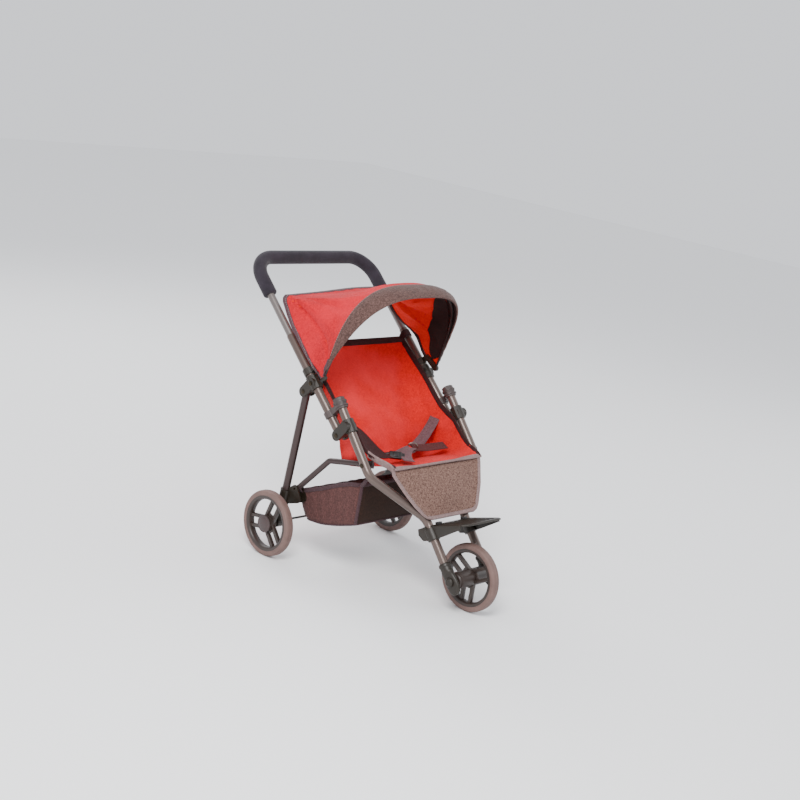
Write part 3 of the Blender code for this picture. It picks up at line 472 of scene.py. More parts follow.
def skin(name, rings, finish, closed=False, sharp=40.0):
    """A closed surface through rings of points, with capped ends unless the rings close on themselves."""
    rings = np.asarray(rings, float)
    count, size = rings.shape[:2]
    verts = rings.reshape(-1, 3)
    faces = []
    for ring in range(count if closed else count - 1):
        low, high = ring * size, (ring + 1) % count * size
        for k in range(size):
            nxt = (k + 1) % size
            faces.append((low + k, low + nxt, high + nxt, high + k))
    if not closed:
        faces.append(tuple(range(size))[::-1])
        faces.append(tuple(range((count - 1) * size, count * size)))
    round_way = arc_lengths(np.vstack([rings[0], rings[0][:1]]))[:-1]
    along_way = arc_lengths(rings.mean(axis=1))
    uvs = [(round_way[k], along_way[ring]) for ring in range(count) for k in range(size)]
    return object_of(name, verts, faces, finish, uvs, sharp=sharp)


def tube(name, path, radii, finish, sides=28):
    """A round bar along a path. radii is one radius, or one for each point."""
    path = [tuple(p) for p in path]
    radii = np.full(len(path), radii) if np.isscalar(radii) else np.asarray(radii)
    tangents, side = frames_along(path)
    up = np.cross(tangents, side)
    angles = np.linspace(0, math.tau, sides, endpoint=False)
    rings = [
        np.asarray(path[k]) + radii[k] * (np.outer(np.cos(angles), side[k]) + np.outer(np.sin(angles), up[k]))
        for k in range(len(path))
    ]
    return skin(name, rings, finish)


def rounded_ends(path, radius, ease):
    """The same path with its ends closed down to a rounded edge, and the radius at each point."""
    path = [Vector(p) for p in path]
    first = (path[1] - path[0]).normalized()
    last = (path[-1] - path[-2]).normalized()
    head = [(path[0] + first * ease * (1 - cos), radius - ease * sin) for cos, sin in
            ((1.0, 1.0), (0.72, 0.42), (0.35, 0.12), (0.0, 0.0))]
    tail = [(path[-1] - last * ease * (1 - cos), radius - ease * sin) for cos, sin in
            ((0.0, 0.0), (0.35, 0.12), (0.72, 0.42), (1.0, 1.0))]
    points = [p for p, _ in head] + path[1:-1] + [p for p, _ in tail]
    radii = [r for _, r in head] + [radius] * (len(path) - 2) + [r for _, r in tail]
    return points, radii


def lathe(name, profile, x, point, finish, steps, closed=True, sign=1):
    """A turned shape round an axis along X. The profile is (radius, distance along the axis)."""
    verts, rows = [], []
    for radius, distance in profile:
        if radius < 1e-7:
            rows.append([len(verts)] * steps)
            verts.append((x + sign * distance, point[0], point[1]))
            continue
        rows.append([])
        for k in range(steps):
            angle = k * math.tau / steps
            y, z = point[0] + radius * math.cos(angle), point[1] + radius * math.sin(angle)
            rows[-1].append(len(verts))
            verts.append((x + sign * distance, y, z))
    faces = []
    pairs = list(zip(rows, rows[1:])) + ([(rows[-1], rows[0])] if closed else [])
    for low, high in pairs:
        for k in range(steps):
            nxt = (k + 1) % steps
            ring = [low[k], low[nxt], high[nxt], high[k]]
            face = [v for n, v in enumerate(ring) if v != ring[n - 1]]
            if len(face) > 2:
                faces.append(tuple(face))
    return object_of(name, verts, faces, finish, sharp=32.0)


def rounded_box(name, low, high, bevel, finish, matrix=None):
    """A box with rounded edges between two corners, moved by the matrix."""
    low, high = Vector(low), Vector(high)
    mesh = bpy.data.meshes.new(name)
    work = bmesh.new()
    bmesh.ops.create_cube(
        work, size=1.0, matrix=Matrix.Translation((low + high) / 2) @ Matrix.Diagonal((*(high - low), 1.0))
    )
    bmesh.ops.bevel(work, geom=work.edges[:], offset=bevel, segments=3, profile=0.5, affect="EDGES")
    work.to_mesh(mesh)
    work.free()
    if matrix:
        mesh.transform(matrix)
    return new_object(name, mesh, finish)


# Cloth helpers

def grid_normals(grid):
    across, down = np.gradient(grid, axis=1), np.gradient(grid, axis=0)
    normals = np.cross(across, down)
    return normals / np.maximum(np.linalg.norm(normals, axis=2), 1e-12)[..., None]


def grid_faces(rows, cols, start=0, flip=False):
    faces = []
    for row in range(rows - 1):
        for col in range(cols - 1):
            a = start + row * cols + col
            face = (a, a + 1, a + cols + 1, a + cols)
            faces.append(face[::-1] if flip else face)
    return faces


def cloth(name, grid, thickness, face, back=None):
    """A closed sheet through a grid of points: face on the side its normals point to, back on the other."""
    rows, cols = grid.shape[:2]
    normals = grid_normals(grid)
    size = rows * cols
    verts = np.concatenate([
        (grid + normals * thickness / 2).reshape(-1, 3), (grid - normals * thickness / 2).reshape(-1, 3)
    ])
    upper, lower = grid_faces(rows, cols), grid_faces(rows, cols, size, flip=True)
    rim = [k for k in range(cols)] + [r * cols + cols - 1 for r in range(1, rows)]
    rim += [size - 1 - k for k in range(1, cols)] + [r * cols for r in range(rows - 2, 0, -1)]
    edge = [(a, a + size, b + size, b) for a, b in zip(rim, rim[1:] + rim[:1])]
    faces = upper + lower + edge
    u = arc_lengths(grid[rows // 2])
    v = arc_lengths(grid[:, cols // 2])
    uvs = [(u[k % size % cols], v[k % size // cols]) for k in range(2 * size)]
    chosen = [(face, list(range(len(upper))) + list(range(2 * len(upper), len(faces))))]
    chosen.append((back or face, list(range(len(upper), 2 * len(upper)))))
    if chosen[0][0] == chosen[1][0]:
        return object_of(name, verts, faces, face, uvs, sharp=70.0)
    return object_of(name, verts, faces, chosen, uvs, sharp=70.0)


def settle(grid, frames, slack, gravity, bending, limit):
    """The grid after a short cloth simulation: it hangs from its four edges with a little slack."""
    rows, cols = grid.shape[:2]
    pinned = np.ones((rows, cols), bool)
    pinned[1:-1, 1:-1] = False
    mesh = bpy.data.meshes.new("settle")
    mesh.from_pydata([tuple(p) for p in grid.reshape(-1, 3)], [], grid_faces(rows, cols))
    obj = bpy.data.objects.new("settle", mesh)
    bpy.context.scene.collection.objects.link(obj)
    group = obj.vertex_groups.new(name="held")
    group.add([int(k) for k in np.flatnonzero(pinned.reshape(-1))], 1.0, "REPLACE")
    sim = obj.modifiers.new("settle", "CLOTH")
    sim.settings.quality = 6
    sim.settings.mass = 0.15
    sim.settings.tension_stiffness = sim.settings.compression_stiffness = 25
    sim.settings.shear_stiffness = 8
    sim.settings.bending_stiffness = bending
    sim.settings.air_damping = 2.0
    sim.settings.vertex_group_mass = "held"
    sim.settings.shrink_min = -slack
    sim.settings.effector_weights.gravity = gravity
    sim.point_cache.frame_start, sim.point_cache.frame_end = 1, frames
    scene = bpy.context.scene
    for number in range(1, frames + 1):
        scene.frame_set(number)
    moved = obj.evaluated_get(bpy.context.evaluated_depsgraph_get()).to_mesh()
    found = np.zeros(len(mesh.vertices) * 3)
    moved.vertices.foreach_get("co", found)
    bpy.data.objects.remove(obj, do_unlink=True)
    scene.frame_set(1)
    step = found.reshape(grid.shape) - grid
    size = np.maximum(np.linalg.norm(step, axis=2), 1e-9)[..., None]
    return grid + step * np.minimum(1.0, limit / size)


def tape(name, path, normals, inward, finish, width=0.0085, thick=0.0030,
         closed=False, over=0.0012, back=None):
    """A folded tape sewn over an edge: a flat rounded bar that laps inward, with its own finish behind."""
    path, normals, inward = (np.asarray(a, float) for a in (path, normals, inward))
    normals = normals / np.linalg.norm(normals, axis=1)[:, None]
    inward = inward - normals * (inward * normals).sum(axis=1)[:, None]
    inward /= np.linalg.norm(inward, axis=1)[:, None]
    centres = path + inward * (width / 2 - over)
    a, b, r = width / 2, thick / 2, min(width, thick) * 0.42
    corner = [(math.cos(t), math.sin(t)) for t in (0.0, math.pi / 4, math.pi / 2)]
    outline = []
    for sx, sy, order in ((1, 1, 1), (-1, 1, -1), (-1, -1, 1), (1, -1, -1)):
        for cx, cy in corner[::order]:
            outline.append((sx * (a - r + r * cx), sy * (b - r + r * cy)))
    rings = [
        [centre + side * x + up * y for x, y in outline]
        for centre, side, up in zip(centres, inward, normals)
    ]
    if back:
        count, size = len(rings), len(outline)
        behind = [r * size + k for r in range(count - 1) for k in range(5, 11)]
        rest = sorted(set(range((count - 1) * size + 2)) - set(behind))
        finish = [(finish, rest), (back, behind)]
    return skin(name, rings, finish, closed=closed, sharp=60.0)


def border(grid, side):
    """(points, normals, inward) along one side of a grid: top, bottom, left or right."""
    normals = grid_normals(grid)
    if side == "top":
        return grid[0], normals[0], grid[1] - grid[0]
    if side == "bottom":
        return grid[-1], normals[-1], grid[-2] - grid[-1]
    if side == "left":
        return grid[:, 0], normals[:, 0], grid[:, 1] - grid[:, 0]
    return grid[:, -1], normals[:, -1], grid[:, -2] - grid[:, -1]


STITCH_PITCH, STITCH_LENGTH, STITCH_RADIUS = 0.0042, 0.0027, 0.00035


def stitches(name, path, normals):
    """A line of separate sewing stitches that stand a little proud of a surface, as one object."""
    path = np.asarray(path, float)
    lengths = arc_lengths(path)
    count = int(lengths[-1] / STITCH_PITCH)
    verts, faces = [], []
    for number in range(count):
        ends = []
        for part in (0.0, 0.5, 1.0):
            place = (number + 0.5) * STITCH_PITCH + (part - 0.5) * STITCH_LENGTH
            point = np.array([np.interp(place, lengths, path[:, k]) for k in range(3)])
            normal = np.array([np.interp(place, lengths, normals[:, k]) for k in range(3)])
            normal /= np.linalg.norm(normal)
            ends.append((point + normal * STITCH_RADIUS * (0.9 if part == 0.5 else 0.1), normal))
        tangent = ends[2][0] - ends[0][0]
        tangent /= np.linalg.norm(tangent)
        side = np.cross(tangent, ends[1][1])
        base = len(verts)
        for (point, normal), swell in zip(ends, (0.6, 1.0, 0.6)):
            for k in range(5):
                angle = k * math.tau / 5
                turned = side * math.cos(angle) + normal * math.sin(angle)
                verts.append(point + STITCH_RADIUS * swell * turned)
        for ring in (0, 1):
            for k in range(5):
                a, b = base + ring * 5 + k, base + ring * 5 + (k + 1) % 5
                faces.append((a, b, b + 5, a + 5))
        faces.append(tuple(base + k for k in range(5))[::-1])
        faces.append(tuple(base + 10 + k for k in range(5)))
    return object_of(name, verts, faces, "thread")


def strap(name, centres, widths, normals, finish, thick):
    """A flat webbing strap: a path, the half width vector at each point, and its face's normals."""
    rings = []
    for centre, half, normal in zip(*(np.asarray(a, float) for a in (centres, widths, normals))):
        normal = normal / np.linalg.norm(normal)
        ring = []
        for x, y in ((-1, 0.3), (-0.94, 1), (-0.5, 1), (0, 1.1), (0.5, 1), (0.94, 1), (1, 0.3)):
            ring.append(centre + half * x + normal * thick / 2 * y)
        for x, y in ((1, -0.3), (0.94, -1), (0, -1.1), (-0.94, -1), (-1, -0.3)):
            ring.append(centre + half * x + normal * thick / 2 * y)
        rings.append(ring)
    return skin(name, rings, finish, sharp=60.0)


# Tubes and grip

def put(obj, body, *nodes):
    """Rides obj on a body and lets it stand for the CAD nodes."""
    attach(obj, body)
    if nodes:
        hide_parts(*nodes)
    return obj


def make_tubes():
    start = TELESCOPE_AT - 0.012
    corners = [
        at(-SIDE_TUBE_X, on_side_tube(start)), at(-SIDE_TUBE_X, HANDLE_CORNER),
        at(SIDE_TUBE_X, HANDLE_CORNER), at(SIDE_TUBE_X, on_side_tube(start)),
    ]
    path = rounded_path(corners, HANDLE_BEND, 16)
    put(tube("handle_bar", path, HANDLE_RADIUS, "metal_pale"), "handle_frame", "handle_tube")
    corners[0] = at(-SIDE_TUBE_X, on_side_tube(GRIP_START))
    corners[3] = at(SIDE_TUBE_X, on_side_tube(GRIP_START))
    points, radii = rounded_ends(rounded_path(corners, HANDLE_BEND, 16), GRIP_RADIUS, 0.0030)
    put(tube("foam_grip", points, radii, "foam", 40), "handle_frame", "handle_grip")
    for side, sign in SIDES.items():
        x = sign * SIDE_TUBE_X
        low, high = on_side_tube(-0.006), on_side_tube(TELESCOPE_AT)
        points, radii = rounded_ends([at(x, low), at(x, high)], TUBE_RADIUS, 0.0012)
        put(tube(f"lower_tube_{side}", points, radii, "metal"), "handle_frame", f"side_tube_{side}")
        button_at = on_side_tube(TELESCOPE_AT - 0.012)
        reaches = (HANDLE_RADIUS - 0.002, TUBE_RADIUS + 0.0006, TUBE_RADIUS + 0.0011)
        button = [at(x - sign * reach, button_at) for reach in reaches]
        put(tube(f"height_button_{side}", button, [0.0028, 0.0026, 0.0014], "steel", 20), "handle_frame")
        low, high = sign * FORK_X, sign * FRONT_TUBE_X
        corners = [
            at(high, on_front_tube(0.0)), at(high, on_front_tube(FRONT_BEND_A)),
            at(low, on_front_tube(FRONT_BEND_B)), at(low, on_front_tube(FORK_TUBE_END + 0.024)),
        ]
        front = tube(f"fork_tube_{side}", rounded_path(corners, 0.030, 12), TUBE_RADIUS, "metal")
        put(front, "front_frame", f"front_tube_{side}")
        leg = [leg_point(sign, -0.006), leg_point(sign, LEG_END)]
        put(tube(f"leg_tube_{side}", leg, LEG_RADIUS, "metal_painted_shade"), "rear_legs", f"rear_leg_{side}")
        make_brace(side, sign * BRACE_X)


def make_brace(side, x):
    """A bent round bar, pressed flat where it is riveted at the front and pinned at the rear."""
    rear = along(BRACE_REAR_PIVOT, direction(BRACE_BEND, BRACE_REAR_PIVOT), -0.0062)
    front = along(BRACE_FRONT_PIVOT, direction(BRACE_BEND, BRACE_FRONT_PIVOT), 0.0070)
    path = [tuple(p) for p in rounded_path([at(x, rear), at(x, BRACE_BEND), at(x, front)], 0.016, 10)]
    path = resample(path, 60)
    tangents, _ = frames_along(path)
    lengths = arc_lengths(path)
    rings = []
    for point, tangent, place in zip(path, tangents, lengths):
        up = np.cross((1.0, 0.0, 0.0), tangent)
        press = 1 - np.clip((lengths[-1] - place - 0.010) / 0.012, 0, 1)
        flat, wide = BRACE_RADIUS * (1 - 0.55 * press), BRACE_RADIUS * (1 + 0.3 * press)
        rings.append([
            point + np.array((flat * math.cos(t), 0, 0)) + up * wide * math.sin(t)
            for t in np.linspace(0, math.tau, 24, endpoint=False)
        ])
    put(skin(f"brace_bar_{side}", rings, "metal_painted_shade"), "braces", f"brace_{side}")


# Wheels

def make_wheel(name, x, point, hub_half, first_spoke, body, rim_node, tyre_node):
    half, outer = TYRE_WIDTH / 2, WHEEL_RADIUS
    profile = [(TYRE_INNER, -half + 0.0006), (TYRE_INNER + 0.0012, -half), (outer - 0.0062, -half)]
    for step in range(7):
        angle = math.radians(-90 + 15 * step)
        shoulder = outer - 0.0040 + 0.0036 * math.cos(angle)
        profile.append((shoulder, -half + 0.0040 + 0.0040 * math.sin(angle)))
    for groove in (-0.0028, 0.0028):
        profile += [(outer, groove - 0.0005), (outer - 0.0006, groove), (outer, groove + 0.0005)]
    for step in range(7):
        angle = math.radians(15 * step)
        shoulder = outer - 0.0040 + 0.0036 * math.cos(angle)
        profile.append((shoulder, half - 0.0040 + 0.0040 * math.sin(angle)))
    profile += [(outer - 0.0062, half), (TYRE_INNER + 0.0012, half), (TYRE_INNER, half - 0.0006)]
    put(lathe(f"{name}_tread", profile, x, point, "tyre", 96), body, tyre_node)
    lip, deep = half - 0.0004, half - 0.0044
    ring = lathe(f"{name}_ring", [
        (TYRE_INNER - 0.0001, -lip), (TYRE_INNER - 0.0001, lip), (RIM_INNER, lip),
        (RIM_INNER - 0.0014, lip - 0.0008), (RIM_INNER - 0.0030, deep), (RIM_INNER - 0.0030, -deep),
        (RIM_INNER - 0.0014, -lip + 0.0008), (RIM_INNER, -lip),
    ], x, point, "rim", 96)
    face = [(AXLE_BORE, hub_half), (HUB_RADIUS - 0.0042, hub_half), (HUB_RADIUS - 0.0030, hub_half - 0.0006),
            (HUB_RADIUS - 0.0020, hub_half - 0.0026), (HUB_RADIUS, hub_half - 0.0032)]
    hub = [(AXLE_BORE, -hub_half), *face, *((r, -d) for r, d in face[:0:-1])]
    hub = lathe(f"{name}_barrel", hub, x, point, "rim", 64)
    pieces = [ring, hub]
    for pair in range(3):
        turn = Matrix.Rotation(math.radians(first_spoke + 120 * pair), 4, "X")
        matrix = Matrix.Translation(at(x, point)) @ turn
        for hand, offset in (("a", -SPOKE_OFFSET), ("b", SPOKE_OFFSET)):
            low, high = (-0.0037, offset - 0.0031, 0.0085), (0.0037, offset + 0.0031, 0.0450)
            pieces.append(rounded_box(f"{name}_bar_{pair}{hand}", low, high, 0.0008, "rim", matrix))
        web = (-0.0016, -SPOKE_OFFSET, 0.0120), (0.0016, SPOKE_OFFSET, 0.0190)
        pieces.append(rounded_box(f"{name}_web_{pair}", *web, 0.0006, "rim", matrix))
    put(join(f"{name}_centre", pieces, "rim"), body, rim_node)


def make_hub_cap(name, sign, point, node, radius):
    """A domed cap in place of the CAD one, as high as that one."""
    low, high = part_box(node)
    x = min(abs(low.x), abs(high.x)) * sign
    tall = (high.x - low.x) / 0.0046
    profile = [
        (0.0, 0.0046), (radius * 0.25, 0.0045), (radius * 0.5, 0.0040), (radius * 0.72, 0.0030),
        (radius * 0.80, 0.0022), (radius * 0.84, 0.0024), (radius * 0.92, 0.0021), (radius, 0.0012),
        (radius, 0.0), (AXLE_BORE, 0.0), (AXLE_BORE, 0.0022), (0.0, 0.0022),
    ]
    profile = [(r, d * tall) for r, d in profile]
    put(lathe(name, profile, x, point, "hub", 48, closed=False, sign=sign), NODES[node]["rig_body"], node)


# Moulded ends and footrest

def make_clip_rings(side, sign):
    """Two raised rings round the lock clip's cap, and a low dome on its top."""
    x = sign * FRONT_TUBE_X
    for number, place in enumerate((0.0028, 0.0105)):
        ends = [at(x, on_front_tube(place - 0.0016)), at(x, on_front_tube(place + 0.0016))]
        ring = tube(f"clip_ring_{side}_{number}", *rounded_ends(ends, 0.0124, 0.0007), "clip", 40)
        put(ring, "front_frame")
    dome = [at(x, on_front_tube(d)) for d in (-0.0038, -0.0046, -0.0058, -0.0064)]
    put(tube(f"clip_dome_{side}", dome, [0.0104, 0.0100, 0.0078, 0.0040], "clip", 40), "front_frame")


def make_fork_end(side, sign):
    """Collar on the fork tube, a step, then a blade that widens and turns round the axle."""
    x = sign * FORK_X
    stations = [
        # along the tube, half width across, half thickness
        (0.3165, 0.0086, 0.0086), (0.3172, 0.0102, 0.0102), (0.3192, 0.0111, 0.0111),
        (0.3222, 0.0111, 0.0110), (0.3232, 0.0103, 0.0100), (0.3296, 0.0106, 0.0094),
        (0.3308, 0.0119, 0.0094), (0.3346, 0.0121, 0.0088), (0.3360, 0.0112, 0.0072),
        (0.3420, 0.0124, 0.0058), (0.3500, 0.0134, 0.0052), (0.3580, 0.0134, 0.0050),
        (0.3650, 0.0122, 0.0048), (0.3700, 0.0098, 0.0046), (0.3728, 0.0060, 0.0043),
        (0.3740, 0.0022, 0.0040),
    ]
    up = np.array((0.0, FRONT_HEADING[1], -FRONT_HEADING[0]))
    rings = []
    for place, wide, thick in stations:
        centre = np.array(at(x, on_front_tube(place)))
        power = 2.0 if place < 0.335 else 2.6
        ring = []
        for t in np.linspace(0, math.tau, 36, endpoint=False):
            c, s = math.cos(t), math.sin(t)
            ring.append(
                centre + up * wide * math.copysign(abs(s) ** (2 / power), s)
                + np.array((thick * math.copysign(abs(c) ** (2 / power), c), 0, 0))
            )
        rings.append(ring)
    put(skin(f"fork_blade_{side}", rings, "bracket", sharp=35.0), "front_frame", f"fork_end_{side}")


def prism(name, base, travel, bevel, every_edge=False):
    """A mesh from a flat outline moved along a vector, with rounded edges on its ends or everywhere."""
    mesh = bpy.data.meshes.new(name)
    work = bmesh.new()
    face = work.faces.new([work.verts.new(point) for point in base])
    grown = bmesh.ops.extrude_face_region(work, geom=[face])
    moved = [v for v in grown["geom"] if isinstance(v, bmesh.types.BMVert)]
    bmesh.ops.translate(work, verts=moved, vec=travel)
    bmesh.ops.recalc_face_normals(work, faces=work.faces)
    caps = {f for f in work.faces if len(f.verts) == len(base)}
    edges = [e for e in work.edges if every_edge or any(f in caps for f in e.link_faces)]
    bmesh.ops.bevel(work, geom=edges, offset=bevel, segments=2, profile=0.5, affect="EDGES")
    work.to_mesh(mesh)
    work.free()
    return mesh


def extruded(name, outline, x, half, bevel):
    """A bracket plastic piece from a side view outline, this half width each way from x."""
    base = [(x - half, y, z) for y, z in outline]
    return new_object(name, prism(name, base, (2 * half, 0, 0), bevel), "bracket")


FOOT_REAR, FOOT_FRONT = (-0.1560, 0.1365), (-0.2370, 0.1655)
DECK_HALF, DECK_THICK = 0.0530, 0.0032
FOOT_BLOCK = ((-0.1405, 0.1265), (-0.1440, 0.1165), (-0.1560, 0.1105), (-0.1690, 0.1150),
              (-0.1700, 0.1300), (-0.1560, 0.1370))
FOOT_CLAMP = (0.2520, 0.2735)
PEG_AT = {-1: -0.036, 1: 0.030}


def make_footrest():
    """Thin tray with tapered side skirts, ribs on its deck, two pegs and a clamp round each fork tube."""
    heading = direction(FOOT_REAR, FOOT_FRONT)
    turn = Matrix.Rotation(math.atan2(heading[1], heading[0]), 4, "X")
    # The deck's own Y runs forward and its own Z points down
    deck_at = Matrix.Translation(at(0, FOOT_REAR)) @ turn
    length = math.dist(FOOT_REAR, FOOT_FRONT)
    right = [(DECK_HALF, 0.004), (0.0500, length - 0.012), (0.0420, length)]
    corners = [(-x, y, -DECK_THICK / 2) for x, y in right] + [(x, y, -DECK_THICK / 2) for x, y in right[::-1]]
    mesh = prism("deck", corners, (0, 0, DECK_THICK), 0.0008, every_edge=True)
    mesh.transform(deck_at)
    pieces = [new_object("deck", mesh)]
    skirt = [
        along(FOOT_REAR, heading, 0.002, 0.001), along(FOOT_FRONT, heading, -0.012, 0.001),
        along(FOOT_FRONT, heading, -0.012, -0.0060), (-0.1930, 0.1310), (-0.1740, 0.1185), (-0.1640, 0.1140),
    ]
    top, low = (on_front_tube(place) for place in FOOT_CLAMP)
    clamp = (top, along(top, FRONT_HEADING, 0.0008), along(low, FRONT_HEADING, -0.0008), low)
    for sign in (-1, 1):
        skirt_x = sign * (DECK_HALF - DECK_THICK / 2)
        pieces.append(extruded(f"skirt_{sign}", skirt, skirt_x, DECK_THICK / 2, 0.0006))
        path = [at(sign * FORK_X, point) for point in clamp]
        pieces.append(tube(f"clamp_{sign}", path, [0.0106, 0.0114, 0.0114, 0.0106], "bracket", 32))
        pieces.append(extruded(f"block_{sign}", FOOT_BLOCK, sign * FORK_X, 0.0100, 0.0014))
        place = Matrix.Translation(at(PEG_AT[sign], along(FOOT_REAR, heading, 0.012, 0.0010))) @ turn
        low_corner, high_corner = (-0.006, -0.003, -0.0050), (0.006, 0.003, 0.0020)
        peg = rounded_box(f"footrest_peg_{sign + 1}", low_corner, high_corner, 0.0008, "black", place)
        put(peg, "front_frame")
    for k in range(7):
        x = (k - 3) * 0.0115
        low_corner, high_corner = (x - 0.0014, 0.016, -0.0024), (x + 0.0014, length - 0.010, -0.0010)
        pieces.append(rounded_box(f"rib_{k}", low_corner, high_corner, 0.0005, "bracket", deck_at))
    tray = join("footrest_tray", pieces, "bracket")
    face_out(tray.data)
    put(tray, "front_frame", "footrest")


# Kept CAD pieces

def dress(name, finish, bevel=0.0005, angle=38):
    """A CAD piece that is already the right shape: rounded edges and its own material."""
    obj = bpy.data.objects[name]
    obj.data.materials.clear()
    obj.data.materials.append(M[finish])
    obj.data.shade_smooth()
    obj.data.set_sharp_from_angle(angle=math.radians(angle))
    if bevel:
        edge = obj.modifiers.new("soft edges", "BEVEL")
        edge.limit_method = "ANGLE"
        edge.angle_limit = math.radians(angle)
        edge.width = bevel
        edge.segments = 2
        edge.use_clamp_overlap = True
        edge.harden_normals = False


def dress_all():
    for node in NODES:
        if node.startswith(("leg_bracket", "fold_bracket", "canopy_clip", "front_axle_cap")):
            dress(node, "bracket")
        elif node.startswith("lock_clip"):
            dress(node, "clip", 0.0004)
        elif node.startswith("rear_foot"):
            dress(node, "bracket")
        elif "rivet" in node:
            dress(node, "rivet", 0.0003)
        elif "axle" in node:
            dress(node, "black", 0.0003)
        elif node == "seat_crossbar":
            dress(node, "metal_painted_shade", 0.0003)


# Camera and light

def make_camera():
    azimuth, elevation, roll = math.radians(-48.6874), math.radians(14.0466), math.radians(9.1396)
    back = Vector((
        math.sin(azimuth) * math.cos(elevation), -math.cos(azimuth) * math.cos(elevation), math.sin(elevation)
    ))
    right = Vector((0, 0, 1)).cross(back).normalized()
    up = back.cross(right)
    turned = right * math.cos(roll) + up * math.sin(roll), up * math.cos(roll) - right * math.sin(roll)
    data = bpy.data.cameras.new("view")
    data.sensor_width, data.lens = 36.0, 36.0 * 1413.035 / 800
    camera = bpy.data.objects.new("view", data)
    bpy.context.scene.collection.objects.link(camera)
    place = Vector((0.0026, 0.0, 0.3134)) + back * 2.5186
    camera.matrix_world = Matrix((
        (turned[0].x, turned[1].x, back.x, place.x), (turned[0].y, turned[1].y, back.y, place.y),
        (turned[0].z, turned[1].z, back.z, place.z), (0, 0, 0, 1),
    ))
    bpy.context.scene.camera = camera


def make_light():
    scene = bpy.context.scene
    scene.world = scene.world or bpy.data.worlds.new("world")
    scene.world.use_nodes = True
    sky = scene.world.node_tree.nodes["Background"]
    sky.inputs["Color"].default_value = (0.93, 0.95, 1.0, 1.0)
    sky.inputs["Strength"].default_value = 1.15
    lamps = (
        # name, place, size, power
        ("key", (-1.5, -1.0, 1.9), 1.0, 66.0),
        ("fill", (1.9, -0.9, 1.3), 1.6, 12.0),
        ("rim", (0.4, 1.8, 1.7), 1.2, 22.0),
    )
    for name, place, size, power in lamps:
        data = bpy.data.lights.new(name, "AREA")
        data.shape, data.size, data.energy = "DISK", size, power
        lamp = bpy.data.objects.new(name, data)
        scene.collection.objects.link(lamp)
        aim = (Vector(place) - Vector((0, 0, 0.25))).to_track_quat("Z", "Y")
        lamp.matrix_world = Matrix.Translation(place) @ aim.to_matrix().to_4x4()


make_tubes()
for side, sign in SIDES.items():
    make_fork_end(side, sign)
    make_wheel(f"wheel_{side}", sign * REAR_WHEEL_X, REAR_AXLE_AT, 0.0095, 20.0,
               f"rear_wheel_{side}", f"rear_rim_{side}", f"rear_tyre_{side}")
    make_hub_cap(f"wheel_cap_{side}", sign, REAR_AXLE_AT, f"rear_hub_cap_{side}", 0.0160)
    make_clip_rings(side, sign)
make_wheel("wheel_front", 0.0, FRONT_AXLE_AT, 0.0400, 60.0, "front_wheel", "front_rim", "front_tyre")
make_footrest()
dress_all()


# Canopy

def arch(base, crown, halves, count, bow=1.0, power=2.94, low=0.0):
    """A rounded arch from near foot to far foot. bow above 1 lets it rise upright first, then lean."""
    points = []
    for t in np.linspace(0.004, math.pi - 0.004, 500):
        cosine, rise = math.cos(t), math.sin(t) ** (2 / power)
        if rise < low:
            continue
        half = halves[0] + (halves[1] - halves[0]) * min(1.0, rise / 0.5)
        points.append((
            -half * math.copysign(abs(cosine) ** (2 / power), cosine),
            base[0] + (crown[0] - base[0]) * rise ** bow, base[1] + (crown[1] - base[1]) * rise,
        ))
    return resample(points, count)


SEAM_FOOT, SEAM_CROWN, SEAM_HALVES = (0.0505, 0.3500), (0.0185, 0.5178), (0.1480, 0.1490)
HEM_FOOT, HEM_CROWN, HEM_HALVES = (0.0500, 0.3490), (-0.0262, 0.5066), (0.1470, 0.1405)
PANEL_ROWS, PANEL_COLS = 22, 81


def rear_edge():
    """The hood's rear edge: up beside the near side tube, straight across, and down the other."""
    near = [at(-0.1480, (0.0535, 0.3478)), at(-0.1490, on_side_tube(0.128, 0.0175)),
            at(-0.1490, on_side_tube(0.150, 0.0150)), at(-0.1490, on_side_tube(0.215, 0.0145)),
            at(-0.1475, on_side_tube(0.266, 0.0225))]
    far = [at(0.1350, on_side_tube(0.2860, 0.0095)), at(0.1350, on_side_tube(0.2500, 0.0060)),
           at(0.1370, on_side_tube(0.2200, 0.0110)), at(0.1420, on_side_tube(0.1950, 0.0180)),
           at(0.1450, on_side_tube(0.1720, 0.0200)), at(0.1470, on_side_tube(0.1440, 0.0140)),
           at(0.1485, on_side_tube(0.1200, 0.0140)), at(0.1480, (0.0535, 0.3478))]
    across = [at(-0.1420, on_side_tube(0.2740, 0.0250)), at(-0.05, on_side_tube(0.2820, 0.0205)),
              at(0.05, on_side_tube(0.2930, 0.0150)), at(0.1300, on_side_tube(0.2960, 0.0120))]
    parts = [smooth_path(points, 40) for points in (near, across, far)]
    return resample(np.vstack(parts), PANEL_COLS)


